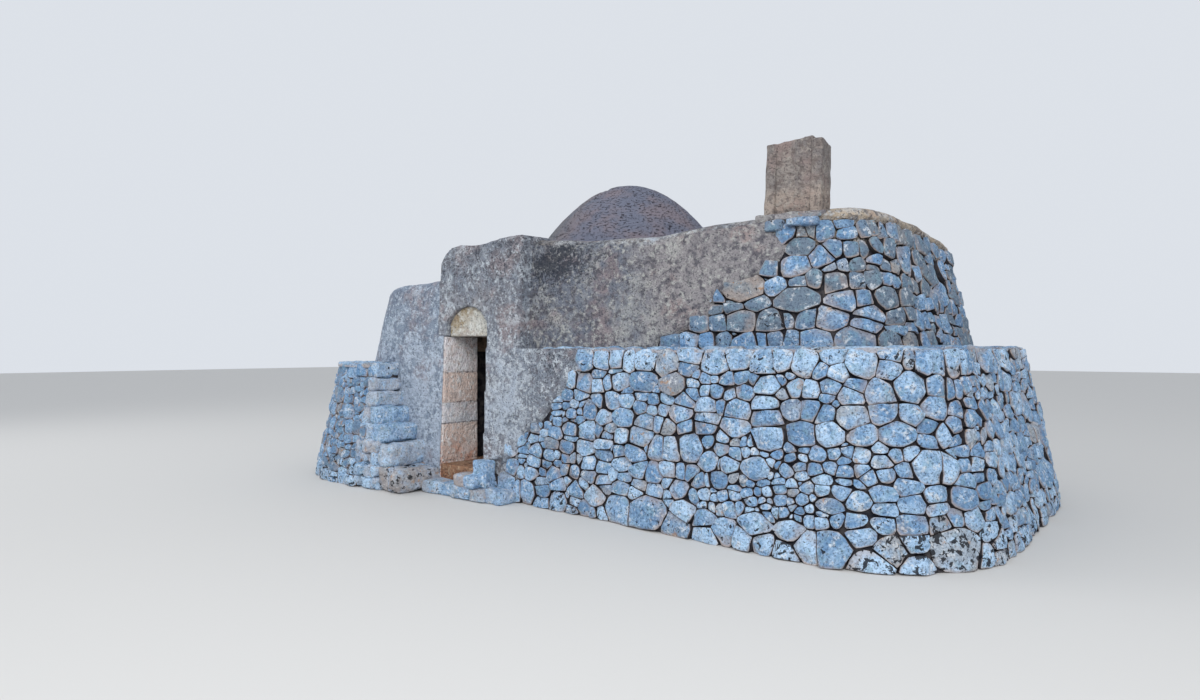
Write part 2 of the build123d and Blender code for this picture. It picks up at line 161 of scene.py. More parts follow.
def turned(x: float, y: float, radius: float, start: float, end: float, count: int = 60) -> Array:
    """Points of a turned run in plan, about an upright axis, between two bearings in degrees."""
    turn = np.radians(np.linspace(start, end, count))
    return np.stack([x + radius * np.cos(turn), y + radius * np.sin(turn)], 1)


@dataclass
class Wall:
    """Leaning wall between two lines side by side in plan, or a flat ledge where a level is given."""

    foot: Array
    head: Array
    foot_z: float
    head_z: float
    level: Optional[float] = None
    run: Array = field(init=False)
    step: float = 0.02

    def __post_init__(self) -> None:
        middle = (self.foot + self.head) / 2
        keep = np.r_[True, np.linalg.norm(np.diff(middle, axis=0), axis=1) > 1e-9]
        self.foot, self.head, middle = self.foot[keep], self.head[keep], middle[keep]
        self.run = np.r_[0, np.cumsum(np.linalg.norm(np.diff(middle, axis=0), axis=1))]

    @property
    def length(self) -> float:
        """Length along the wall at half its height."""
        return float(self.run[-1])

    def surface(self, along: Array, height: Array) -> Array:
        """Places on the wall's plain face."""
        share = ((height - self.foot_z) / (self.head_z - self.foot_z))[..., None]
        foot, head = (
            np.stack([np.interp(along, self.run, line[:, i]) for i in (0, 1)], -1)
            for line in (self.foot, self.head)
        )
        upright = height if self.level is None else np.full_like(height, self.level)
        return np.concatenate([foot * (1 - share) + head * share, upright[..., None]], -1)

    def place(self, along: Array, height: Array, out: Array) -> Array:
        """Places that stand out from the face by a distance.

        Args:
            along: Distances along the wall.
            height: Heights over the ground.
            out: Distances outward, square to the face.
        Returns:
            Points in rows of three.
        """
        across = self.surface(np.clip(along + self.step, 0, self.length), height)
        across = across - self.surface(np.clip(along - self.step, 0, self.length), height)
        rise = self.surface(along, height + self.step) - self.surface(along, height - self.step)
        normal = np.cross(across, rise)
        normal /= np.linalg.norm(normal, axis=-1, keepdims=True)
        return self.surface(along, height) + normal * out[..., None]

    def sunk(self, points: Array, depth: float) -> Array:
        """Points moved inward so that none lies within a depth of the wall's face."""
        share = ((points[:, 2] - self.foot_z) / (self.head_z - self.foot_z))[:, None, None]
        lines = self.foot[None] * (1 - share) + self.head[None] * share
        nearest = np.argmin(((lines - points[:, None, :2]) ** 2).sum(-1), axis=1)
        row, last = np.arange(len(points)), len(self.foot) - 1
        before, after = lines[row, np.maximum(nearest - 1, 0)], lines[row, np.minimum(nearest + 1, last)]
        outward = (after - before)[:, ::-1] * np.array([1.0, -1.0])
        outward /= np.linalg.norm(outward, axis=1, keepdims=True)
        out = ((points[:, :2] - lines[row, nearest]) * outward).sum(1)
        near = (nearest > 0) & (nearest < last) | (np.abs(out) < self.step)
        moved = points.copy()
        moved[:, :2] -= outward * np.where(near, np.maximum(0, out + depth), 0)[:, None]
        return moved

    def along_at(self, x: float, y: float) -> float:
        """Distance along the wall of the place next to a point in plan."""
        middle = (self.foot + self.head) / 2
        return float(self.run[np.argmin(np.hypot(middle[:, 0] - x, middle[:, 1] - y))])

    def parts(self, last: str, **ends: tuple[float, float]) -> list[tuple[str, float]]:
        """Names of parts, each with the distance at which it ends, which is given as a place in plan."""
        return [(name, self.along_at(*end)) for name, end in ends.items()] + [(last, self.length)]


# Meshes


def placed(name: str, data: bpy.types.ID) -> bpy.types.Object:
    """New object for a mesh, lamp or camera, linked to the scene."""
    obj = bpy.data.objects.new(name, data)
    bpy.context.scene.collection.objects.link(obj)
    return obj


def mesh_object(name: str, points: Array, faces: Array, finish: Optional[Array] = None) -> bpy.types.Object:
    """Smooth-shaded mesh with a colour attribute that its material reads.

    Args:
        name: Name of the object.
        points: Vertices in rows of three.
        faces: Faces, all with the same number of corners.
        finish: Four values for each vertex, kept as the attribute "finish".
    Returns:
        The new object, linked to the scene.
    """
    mesh = bpy.data.meshes.new(name)
    mesh.vertices.add(len(points))
    mesh.vertices.foreach_set("co", points.astype(np.float32).ravel())
    mesh.loops.add(faces.size)
    mesh.loops.foreach_set("vertex_index", faces.astype(np.int32).ravel())
    mesh.polygons.add(len(faces))
    mesh.polygons.foreach_set("loop_start", np.arange(0, faces.size, faces.shape[1], dtype=np.int32))
    shade(mesh, True)
    mesh.update(calc_edges=True)
    obj = placed(name, mesh)
    if finish is not None:
        set_finish(obj, finish)
    return obj


def shade(mesh: bpy.types.Mesh, smoothly: bool) -> None:
    """Shades every face of a mesh smooth or flat."""
    mesh.polygons.foreach_set("use_smooth", np.full(len(mesh.polygons), smoothly))


def set_finish(obj: bpy.types.Object, finish: Array) -> None:
    """Keeps four values for each vertex as the attribute that materials read."""
    layer = obj.data.color_attributes.new("finish", "FLOAT_COLOR", "POINT")
    layer.data.foreach_set("color", finish.astype(np.float32).ravel())


def dress(obj: bpy.types.Object, slot: Slot, material: bpy.types.Material, *nodes: str) -> None:
    """Gives a piece its material, and lets it ride on the house in the place of CAD nodes."""
    obj.data.materials.clear()
    obj.data.materials.append(material)
    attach(obj, ROOT)
    if nodes:
        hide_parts(*nodes)
    log.info("%s: %d faces", obj.name, len(obj.data.polygons))


def vertices(obj: bpy.types.Object, what: str = "co") -> Array:
    """Places of an object's vertices, or another of their values in threes."""
    values = np.empty(len(obj.data.vertices) * 3, np.float32)
    obj.data.vertices.foreach_get(what, values)
    return values.reshape(-1, 3).astype(float)


def triangles(obj: bpy.types.Object) -> Array:
    """Corners of an object's faces, cut into triangles."""
    obj.data.calc_loop_triangles()
    corners = np.empty(len(obj.data.loop_triangles) * 3, np.int32)
    obj.data.loop_triangles.foreach_get("vertices", corners)
    return corners.reshape(-1, 3)


def grid_faces(rows: int, columns: int) -> Array:
    """Four-cornered faces of a grid whose points are counted row by row."""
    index = np.arange(rows * columns).reshape(rows, columns)
    return np.stack([index[:-1, :-1], index[:-1, 1:], index[1:, 1:], index[1:, :-1]], -1).reshape(-1, 4)


# Dry stones

# How stones are parted and fitted: counts, then lengths and areas in metres, then angles in radians
NEIGHBOURS = 18
CUT_TRIES = 4
LEAST_SIDE = 0.07
LEAST_WIDTH = 0.022
THIN = 0.055
LAST_BLOCK = 0.15
OUTER_AREA = 0.05
SMALL_STONE = 0.012
CUT_LEAN = 0.30
JOINT_TURN = 0.035
WAVE_TURNS = (4.3, 11.0)
# How stones are worn and chipped: cuts at the corners in metres, slopes, and starts as shares of the reach
WEAR = (0.002, 0.011)
DEEP_WEAR = 0.05
TILT = 0.13
CHIPS = 4
CHIP_SLOPES = (0.25, 1.1)
CHIP_STARTS = (0.2, 0.8)
# Rings of a stone from its hidden foot to its middle: share of the outline, and share of the height
RING_SCALES = np.array([1.0, 1.0, 0.985, 0.94, 0.8, 0.52, 0.22])
RING_RISES = np.array([-0.35, 0.5, 0.82, 0.96, 1.0, 1.0, 1.0])


def clip(polygon: list[Array], normal: Array, limit: float) -> list[Array]:
    """Part of a convex polygon on the near side of a line."""
    kept: list[Array] = []
    for i, here in enumerate(polygon):
        there = polygon[(i + 1) % len(polygon)]
        a, b = float(here @ normal) - limit, float(there @ normal) - limit
        if a <= 0:
            kept.append(here)
        if a * b < 0:
            kept.append(here + (there - here) * (a / (a - b)))
    return kept


def cut_back(points: Array, first: Array | float, second: Array | float) -> Array:
    """Polygon with its corners cut off, at shares of each side from its first and its second end."""
    after = np.roll(points, -1, axis=0)
    cuts = (points + (after - points) * first, after + (points - after) * second)
    return np.stack(cuts, 1).reshape(-1, 2)


def softened(polygon: Sequence[Array], worn: Array) -> Array:
    """Polygon with each corner cut back by its own distance, and the cuts rounded a little."""
    points = np.array(polygon)
    length = np.maximum(np.linalg.norm(np.roll(points, -1, axis=0) - points, axis=1), 1e-6)
    first, second = (np.clip(cut / length, 0.02, 0.36)[:, None] for cut in (worn, np.roll(worn, -1)))
    return cut_back(cut_back(points, first, second), 0.25, 0.25)


def resampled(points: Array, count: int) -> Array:
    """Closed outline with its points spaced evenly, but for those that move to a corner nearby."""
    closed = np.vstack([points, points[:1]])
    run = np.r_[0, np.cumsum(np.linalg.norm(np.diff(closed, axis=0), axis=1))]
    at = np.linspace(0, run[-1], count, endpoint=False)
    nearest = np.round(run[:-1] / run[-1] * count).astype(int) % count
    at[nearest] = run[:-1]
    return np.stack([np.interp(at, run, closed[:, i]) for i in (0, 1)], 1)


def area(polygon: Sequence[Array]) -> float:
    """Area of a polygon."""
    x, y = np.array(polygon).T
    return abs(float(x @ np.roll(y, -1) - y @ np.roll(x, -1))) / 2


def each(values: Array) -> Array:
    """One value for each stone, set against rings and corners."""
    return values[:, None, None]


@dataclass(frozen=True)
class StoneSize:
    """Sizes of the stones of a wall, in metres.

    Areas are the largest that a stone may have, each with its share of the wall. The jitter and the weight
    are shares of a stone's own size, the small stones' weight is an area.
    """

    low_row: float = 0.30
    row: tuple[float, float] = (0.17, 0.36)
    top_row: float = 0.23
    areas: tuple[tuple[float, float], ...] = ((0.11, 0.18), (0.06, 0.37), (0.036, 0.30), (0.018, 0.15))
    block: tuple[float, float] = (0.30, 0.72)
    wave: float = 0.04
    jitter: float = 0.07
    stretch: float = 1.3
    chinks: float = 0.10
    weight: float = 0.30
    chink_weight: float = 0.0004
    gap: tuple[float, float] = (0.003, 0.016)
    stand_out: tuple[float, float] = (0.034, 0.066)
    sink: float = 0.046


@dataclass
class Rubble:
    """Dry stones of mixed sizes, fitted together over a wall and parted into runs.

    Each vertex is marked with its stone's tone and hue, how far down the side it lies, and the lichen. The
    side mark is painted warm bounce light on the sides, more on the undersides, with the chipped faces; at
    the hidden foot it is painted shade of the gaps.
    """

    name: str
    wall: Wall
    start: float
    end: float
    low: Along
    high: Along
    seed: int
    parts: Sequence[tuple[str, float]]
    size: StoneSize = StoneSize()
    corners: int = 22
    covered: Optional[Along] = None
    lichen: Along = lambda along, height: smooth(0.55, 0.0, height)
    # Strength of the side mark: painted warm light on the sides and undersides, the chipped faces, and
    # painted shade at the feet
    warm_sides: float = 1.0
    tone: tuple[float, float] = (0.0, 1.0)

    def build(self, material: bpy.types.Material) -> None:
        """Lays the stones and makes one mesh for each part of the run."""
        rng = np.random.default_rng(self.seed)
        stones = self._loosened(self._lay(rng), rng)
        middles = np.array([np.mean(stone, axis=0) for stone in stones])
        begin = self.start
        for name, finish in self.parts:
            chosen = (middles[:, 0] >= begin) & (middles[:, 0] < finish)
            if self.covered:
                chosen &= ~self.covered(middles[:, 0], middles[:, 1])
            part = self._part(f"{self.name}_{name}", [stones[i] for i in np.flatnonzero(chosen)], rng)
            dress(part, Slot.STONE, material)
            begin = finish

    def _lay(self, rng: np.random.Generator) -> list[list[Array]]:
        """Outlines that fill the wall: wavy rows, cut into blocks, cut into stones."""
        size = self.size
        middle = np.array([(self.start + self.end) / 2])
        height = float(self.high(middle)[0] - self.low(middle)[0])
        rows = [size.low_row] if size.low_row else []
        while sum(rows) < height - size.top_row - size.row[0] / 2:
            rows.append(rng.uniform(*size.row))
        rows += [size.top_row] if size.top_row else []
        levels = np.r_[0, np.cumsum(rows)] / sum(rows)
        phases = rng.uniform(0, 6.28, (len(levels), 2))

        def edge(i: int, along: float) -> Array:
            at = np.array([np.clip(along, self.start, self.end)])
            low, high = self.low(at)[0], self.high(at)[0]
            slow, quick = (math.sin(along * turns + phase) for turns, phase in zip(WAVE_TURNS, phases[i]))
            wave = size.wave * (slow * 0.6 + quick * 0.4) * (0 < i < len(levels) - 1)
            return np.array([along, low + (high - low) * levels[i] + wave])

        stones: list[list[Array]] = []
        limits, chances = np.array(size.areas).T
        for i in range(len(rows)):
            outer = i in (0, len(rows) - 1)
            along, lean = self.start, 0.0
            while along < self.end - 0.05:
                wide = rng.uniform(*size.block) * (0.75 if outer else 1.0)
                after = along + wide if along + wide < self.end - LAST_BLOCK else self.end
                next_lean = rng.uniform(-0.25, 0.25) * rows[i] if after < self.end else 0.0
                block = [
                    edge(i, along - lean), edge(i, after - next_lean),
                    edge(i + 1, after + next_lean), edge(i + 1, along + lean),
                ]
                limit = float(rng.choice(limits, p=chances / chances.sum()))
                stones += self._split(block, max(limit, OUTER_AREA) if outer else limit, rng)
                along, lean = after, next_lean
        return stones

    def _split(self, block: list[Array], limit: float, rng: np.random.Generator) -> list[list[Array]]:
        """Cuts a block by leaning lines until each stone is small enough."""
        points = np.array(block)
        wide, tall = np.ptp(points, axis=0)
        if area(block) < limit * rng.uniform(0.7, 1.3) or min(wide, tall) < LEAST_SIDE:
            return [block]
        upright = wide > tall * rng.uniform(1.0, 1.9)
        for attempt in range(CUT_TRIES):
            lean = rng.normal(0, CUT_LEAN) / (attempt + 1)
            across = (math.cos(lean), math.sin(lean))
            normal = np.array(across if upright else across[::-1])
            spread = np.ptp(points @ normal)
            cut = float(points.mean(0) @ normal) + spread * rng.uniform(-0.2, 0.2) / (attempt + 1)
            parts = [clip(block, normal, cut), clip(block, -normal, -cut)]
            if all(len(part) > 2 and self._sound(part) for part in parts):
                return sum((self._split(part, limit * rng.uniform(0.75, 1.2), rng) for part in parts), [])
        return [block]

    def _loosened(self, stones: list[list[Array]], rng: np.random.Generator) -> list[list[Array]]:
        """Shifts the stones a little, adds small ones at some corners and fits them all together again."""
        size = self.size
        stretch = np.array([size.stretch, 1.0])
        sizes = np.array([area(stone) for stone in stones]) / size.stretch
        seeds = np.array([np.mean(stone, axis=0) for stone in stones]) / stretch
        seeds = seeds + rng.normal(0, size.jitter, seeds.shape) * np.sqrt(sizes)[:, None]
        chinks = [
            stone[rng.integers(len(stone))] / stretch for stone in stones if rng.uniform() < size.chinks
        ]
        seeds = np.vstack([seeds, chinks]) if chinks else seeds
        weights = np.r_[sizes * size.weight, np.full(len(chinks), size.chink_weight)]
        made = []
        for i, here in enumerate(seeds):
            away = seeds - here
            order = np.argsort((away**2).sum(1))[1 : NEIGHBOURS + 1]
            at = np.clip(here[:1] * stretch[0], self.start, self.end)
            low, high = float(self.low(at)[0]), float(self.high(at)[0])
            left, right = max(self.start, at[0] - 0.5) / stretch[0], min(self.end, at[0] + 0.5) / stretch[0]
            cell = [np.array(p) for p in ((left, low), (right, low), (right, high), (left, high))]
            for j in order:
                distance = max(math.hypot(*away[j]), 1e-6)
                limit = (distance**2 + weights[i] - weights[j]) / (2 * distance)
                cell = clip(cell, away[j] / distance, float(here @ away[j]) / distance + limit)
                if len(cell) < 3:
                    break
            if len(cell) > 2:
                made.append([point * stretch for point in cell])
        return made

    @staticmethod
    def _sound(stone: list[Array]) -> bool:
        """True for a stone that is neither thin nor a sliver."""
        wide, tall = np.ptp(np.array(stone), axis=0)
        thin = min(wide, tall) <= THIN or tall <= 0.3 * wide or wide <= 0.42 * tall
        return not thin and area(stone) > 0.62 * wide * tall

    def _part(self, name: str, stones: list[list[Array]], rng: np.random.Generator) -> bpy.types.Object:
        """Mesh of some stones, the small ones with fewer corners."""
        groups = {self.corners: [], self.corners * 2 // 3: []}
        for stone in stones:
            outline = self._fitted(stone, rng)
            if outline is not None:
                count = self.corners if area(stone) > SMALL_STONE else self.corners * 2 // 3
                groups[count].append(resampled(outline, count))
        points, faces, finishes, start = [], [], [], 0
        for outlines in filter(None, groups.values()):
            at, corners, finish = self._stones(np.array(outlines), rng)
            points.append(at)
            faces.append(corners + start)
            finishes.append(finish)
            start += len(at)
        return mesh_object(name, np.vstack(points), np.vstack(faces), np.vstack(finishes))

    def _fitted(self, stone: list[Array], rng: np.random.Generator) -> Optional[Array]:
        """Outline of a stone drawn in from its neighbours, with worn corners."""
        middle = np.mean(stone, axis=0)
        closest, widest = self.size.gap
        cell = stone
        for i, here in enumerate(stone):
            along = stone[(i + 1) % len(stone)] - here
            length = math.hypot(*along)
            if length < 1e-6:
                continue
            normal = np.array([along[1], -along[0]]) / length
            normal = normal if (here - middle) @ normal > 0 else -normal
            turn = rng.normal(0, JOINT_TURN)
            normal = np.array([normal[0] - turn * normal[1], normal[1] + turn * normal[0]])
            gap = closest + (widest - closest) * rng.uniform() ** 2
            cell = clip(cell, normal, float((here + along / 2) @ normal) - gap / 2)
            if len(cell) < 3:
                return None
        worn = rng.uniform(*WEAR, len(cell)) + DEEP_WEAR * rng.uniform(0, 1, len(cell)) ** 5
        outline = softened(cell, worn)
        return outline if np.ptp(outline, axis=0).min() > LEAST_WIDTH else None

    def _stones(self, outline: Array, rng: np.random.Generator) -> tuple[Array, Array, Array]:
        """Rough, tilted and chipped stone over each outline.

        Args:
            outline: Outlines on the wall, all with the same number of corners.
            rng: Source of what differs from stone to stone.
        Returns:
            Points, triangles and finish values.
        """
        count, ring = outline.shape[:2]
        centre = outline.mean(1, keepdims=True)
        reach = np.sqrt(((outline - centre) ** 2).sum(-1)).mean(1)
        spots = np.concatenate([outline, np.full((count, ring, 1), self.seed * 1.0)], -1)
        bend = np.clip(1 + 0.06 * layered(spots, 0.05, 3, 2), 0.93, 1.015)
        outline = centre + (outline - centre) * bend[..., None]
        flat = centre[:, None] + (outline - centre)[:, None] * RING_SCALES[None, :, None, None]
        local = flat - centre[:, None]
        height, chipped = self._relief(flat, local, reach, rng)
        points = self.wall.place(flat[..., 0], flat[..., 1], height)
        middle = centre[:, 0].T
        top = self.wall.place(*middle, height[:, -1].mean(1) + 0.001)
        tone, hue = rng.uniform(*self.tone, count), rng.uniform(0, 1, count)
        hue = np.where(reach < 0.05, hue * 0.7 + 0.3, hue)
        spotty = np.clip(self.lichen(*middle) + rng.normal(0, 0.20, count), 0, 1)
        # Side mark: painted warm bounce light on the sides, more on the undersides, plus the chipped faces;
        # past 1 at the hidden foot it paints the shade of the gaps
        below = np.clip(-local[..., 1] / each(reach), 0, 1) * 0.55
        edge = (smooth(0.99, 0.6, RING_RISES) * 0.5)[None, :, None]
        edge = np.clip(edge + below * (RING_SCALES > 0.9)[None, :, None] + chipped * 0.6, 0, 1)
        edge = (edge + smooth(0.85, 0.3, RING_RISES)[None, :, None]) * self.warm_sides
        finish = np.stack(np.broadcast_arrays(each(tone), each(hue), edge, each(spotty)), -1)
        hub = np.stack([tone, hue, np.zeros(count), spotty], 1)
        finish = np.vstack([finish.reshape(-1, 4), hub])
        return np.vstack([points.reshape(-1, 3), top]), self._faces(*points.shape[:3]), finish

    def _relief(
        self, flat: Array, local: Array, reach: Array, rng: np.random.Generator
    ) -> tuple[Array, Array]:
        """Heights of the stones' points over the wall's face, and how much is chipped off, from 0 to 1.

        Args:
            flat: Points on the wall, by stone, ring and corner.
            local: The same from the middle of each stone.
            reach: Mean radius of each stone.
            rng: Source of what differs from stone to stone.
        """
        count, rise = len(flat), RING_RISES[None, :, None]
        above = rise > 0
        thick = each(rng.uniform(*self.size.stand_out, count) * np.clip(reach / 0.08, 0.78, 1.15))
        tilt = rng.normal(0, TILT, (count, 2))
        slope = local[..., 0] * each(tilt[:, 0]) + local[..., 1] * each(tilt[:, 1])
        height = thick * rise + np.where(above, slope * rise, 0)
        for _ in range(CHIPS):
            turn = rng.uniform(0, 2 * math.pi, count)
            steep = rng.uniform(*CHIP_SLOPES, count)
            start = rng.uniform(*CHIP_STARTS, count) * reach
            across = local[..., 0] * each(np.cos(turn)) + local[..., 1] * each(np.sin(turn))
            cut = thick * 1.02 - np.maximum(0, across - each(start)) * each(steep)
            height = np.where(above, np.minimum(height, np.maximum(cut, 0.3 * thick)), height)
        chipped = smooth(0.08, 0.35, 1 - height / thick) * above * each(rng.uniform(0.1, 1, count))
        spots = np.concatenate([flat, height[..., None] + each(np.arange(count))[..., None] * 0.37], -1)
        rough = layered(spots, 0.08, self.seed, 3) * 0.012 + noise(spots, 0.022, self.seed + 9) * 0.003
        return height + np.where(above, rough * np.minimum(1, 0.25 + rise), 0) - self.size.sink, chipped

    @staticmethod
    def _faces(count: int, rings: int, ring: int) -> Array:
        """Triangles between the rings of each stone, and from its last ring to its hub."""
        index = np.arange(count * rings * ring).reshape(count, rings, ring)
        after = np.roll(index, -1, axis=2)
        hubs = np.repeat((count * rings * ring + np.arange(count))[:, None], ring, 1)
        sides = (
            (index[:, :-1], after[:, :-1], after[:, 1:]), (index[:, :-1], after[:, 1:], index[:, 1:]),
            (index[:, -1], after[:, -1], hubs),
        )
        return np.vstack([np.stack(corners, -1).reshape(-1, 3) for corners in sides])


# Plaster and weathered solids


@dataclass
class Skin:
    """Plaster over part of a wall, which runs out in an irregular edge."""

    name: str
    wall: Wall
    start: float
    end: float
    low: Along
    high: Along
    inside: Along
    seed: int
    tint: Callable[[Array], Array]
    thickness: float = 0.004
    lip: float = 0.0
    grid: float = 0.026
    dive: float = 0.07
    ragged: float = 0.09
    buried: float = 0.13

    def build(self, material: bpy.types.Material) -> None:
        """Makes the skin as a grid that dives into the wall outside its edge."""
        columns = int((self.end - self.start) / self.grid) + 1
        middle = np.array([(self.start + self.end) / 2])
        rows = int(float(self.high(middle)[0] - self.low(middle)[0]) / self.grid) + 1
        along, share = np.meshgrid(np.linspace(self.start, self.end, columns), np.linspace(0, 1, rows))
        back = np.zeros_like(along)
        if self.lip:
            folded = int(self.lip / self.grid) + 1
            share[-folded:] = 1.0
            share[:-folded] = np.linspace(0, 1, rows - folded)[:, None]
            back[-folded:] = np.linspace(self.lip / folded, self.lip, folded)[:, None]
        height = self.low(along) + (self.high(along) - self.low(along)) * share
        plain = self.wall.surface(along, height)
        within = self.inside(along, height) + self.ragged * layered(plain, 0.22, self.seed, 3)
        cover = smooth(-0.05, 0.035, within)
        relief = 0.012 * layered(plain, 0.42, self.seed + 5, 3)
        relief = relief + 0.004 * layered(plain, 0.09, self.seed + 8, 2)
        out = -self.dive + (self.thickness + self.dive) * cover + relief - back
        points = self.wall.place(along, height, out)
        faces = grid_faces(rows, columns)
        shown = (within > -self.buried).ravel()
        used, faces = np.unique(faces[shown[faces].any(axis=1)], return_inverse=True)
        points = points.reshape(-1, 3)[used]
        skin = mesh_object(self.name, points, faces.reshape(-1, 4), self.tint(points))
        dress(skin, Slot.PLASTER, material)


@dataclass
class Weathered:
    """Rounded and roughened copy of one or more CAD solids."""

    name: str
    nodes: tuple[str, ...]
    voxel: float
    swell: float
    rough: float
    seed: int
    tint: Callable[[Array], Array]
    coarse: float = 0.3
    carve: Optional[Callable[[Array, Array], Array]] = None

    def build(self, slot: Slot, material: bpy.types.Material) -> None:
        """Joins the solids, remeshes them evenly and moves the surface in and out."""
        points, faces, start = [], [], 0
        for node in self.nodes:
            points.append(vertices(frame["nodes"][node]))
            faces.append(triangles(frame["nodes"][node]) + start)
            start += len(points[-1])
        rigid = mesh_object(self.name + "_plain", np.vstack(points), np.vstack(faces))
        even = rigid.modifiers.new("even", "REMESH")
        even.mode = "VOXEL"
        even.voxel_size = self.voxel
        mesh = bpy.data.meshes.new_from_object(rigid.evaluated_get(bpy.context.evaluated_depsgraph_get()))
        mesh.name = self.name
        bpy.data.objects.remove(rigid)
        obj = placed(self.name, mesh)
        shade(mesh, True)
        at, out = vertices(obj), vertices(obj, "normal")
        move = self.swell + self.rough * layered(at, self.coarse, self.seed, 4)
        if self.carve:
            move = move + self.carve(at, out)
        at = at + out * move[:, None]
        at[:, 2] = np.maximum(at[:, 2], 0.0)
        mesh.vertices.foreach_set("co", at.astype(np.float32).ravel())
        mesh.update()
        set_finish(obj, self.tint(at))
        dress(obj, slot, material, *self.nodes)


# Shader trees


class Value:
    """Output of a shader node, with arithmetic that adds Math nodes."""

    def __init__(self, tree: "Tree", socket: bpy.types.NodeSocket) -> None:
        self.tree = tree
        self.socket = socket

    def math(
        self, operation: str, *others: "Value | float", first: "Value | float | None" = None
    ) -> "Value":
        """Result of a Math node on this value and others."""
        node = self.tree.nodes.new("ShaderNodeMath")
        node.operation = operation
        for i, given in enumerate((self if first is None else first, *others)):
            self.tree.join(given, node.inputs[i])
        return Value(self.tree, node.outputs[0])

    def __add__(self, other: "Value | float") -> "Value":
        return self.math("ADD", other)

    def __sub__(self, other: "Value | float") -> "Value":
        return self.math("SUBTRACT", other)

    def __mul__(self, other: "Value | float") -> "Value":
        return self.math("MULTIPLY", other)

    __radd__ = __add__
    __rmul__ = __mul__

    def __rsub__(self, other: float) -> "Value":
        return self.math("SUBTRACT", self, first=other)

    def least(self, other: "Value | float") -> "Value":
        """Smaller of two values."""
        return self.math("MINIMUM", other)

    def rise(self, low: "Value | float", high: "Value | float") -> "Value":
        """Smooth step from 0 at low to 1 at high."""
        given = {"Value": self, "From Min": low, "From Max": high}
        return self.tree.node("ShaderNodeMapRange", given, interpolation_type="SMOOTHSTEP")["Result"]


Given = Value | float | Colour


class Tree:
    """Shader tree of one material."""

    def __init__(self, name: str) -> None:
        self.material = bpy.data.materials.new(name)
        self.material.use_nodes = True
        self.nodes = self.material.node_tree.nodes
        self.links = self.material.node_tree.links
        self.nodes.clear()
        self.place = self.node("ShaderNodeTexCoord")["Object"]
        attribute = self.node("ShaderNodeAttribute", attribute_name="finish")
        parts = self.node("ShaderNodeSeparateColor", {"Color": attribute["Color"]})
        self.marks = (parts["Red"], parts["Green"], parts["Blue"], attribute["Alpha"])

    def join(self, given: Given, socket: bpy.types.NodeSocket) -> None:
        """Links a value to a socket, or sets the socket to a number or colour."""
        if isinstance(given, Value):
            self.links.new(given.socket, socket)
        elif isinstance(given, tuple):
            socket.default_value = (*given, 1.0) if socket.type == "RGBA" else given
        else:
            socket.default_value = given

    def node(
        self, kind: str, given: Optional[dict[str, Given]] = None, **settings: object
    ) -> dict[str, Value]:
        """Adds a node.

        Args:
            kind: Type name of the node.
            given: Values or links for sockets, by name or identifier.
            settings: Properties, set before the sockets.
        Returns:
            The node's outputs by name and identifier.
        """
        node = self.nodes.new(kind)
        for name, value in settings.items():
            setattr(node, name, value)
        for name, value in (given or {}).items():
            socket = next(s for s in node.inputs if s.identifier == name or (s.name == name and s.enabled))
            self.join(value, socket)
        found = {s.name: Value(self, s) for s in node.outputs if s.enabled}
        return found | {s.identifier: Value(self, s) for s in node.outputs}

    def grain(
        self, scale: float, detail: float = 4.0, shift: float = 0.0, flat: float = 1.0, twist: float = 0.0
    ) -> Value:
        """Noise over the surface.

        Args:
            scale: Bumps to a metre.
            detail: Layers of finer noise.
            shift: Offset that picks another pattern.
            flat: How many times the pattern is squeezed in height.
            twist: Distortion.
        Returns:
            Values around one half.
        """
        given = {"Vector": self.place, "Location": (shift, shift * 0.7, 0.0), "Scale": (1.0, 1.0, flat)}
        place = self.node("ShaderNodeMapping", given)["Vector"]
        given = {"Vector": place, "Scale": scale, "Detail": detail}
        return self.node("ShaderNodeTexNoise", given | {"Roughness": 0.62, "Distortion": twist})["Fac"]

    def coats(self, colour: Given, *coats: tuple[Colour, Value | float]) -> Given:
        """Colour under coats of others, each with the share that it covers."""
        for over, share in coats:
            given = {"Factor_Float": share, "A_Color": colour, "B_Color": over}
            colour = self.node("ShaderNodeMix", given, data_type="RGBA")["Result_Color"]
        return colour

    def finish(self, colour: Given, height: Value, depth: float) -> bpy.types.Material:
        """Closes the tree with a rough shader and a bump, and returns the material."""
        bump = self.node("ShaderNodeBump", {"Height": height, "Distance": depth, "Strength": 1.0})
        return self.surface({"Base Color": colour, "Roughness": 0.93, "Specular IOR Level": 0.25} | bump)

    def surface(self, given: dict[str, Given]) -> bpy.types.Material:
        """Closes the tree with a shader that has these values, and returns the material."""
        shader = self.node("ShaderNodeBsdfPrincipled", given)
        self.node("ShaderNodeOutputMaterial", {"Surface": shader["BSDF"]})
        return self.material


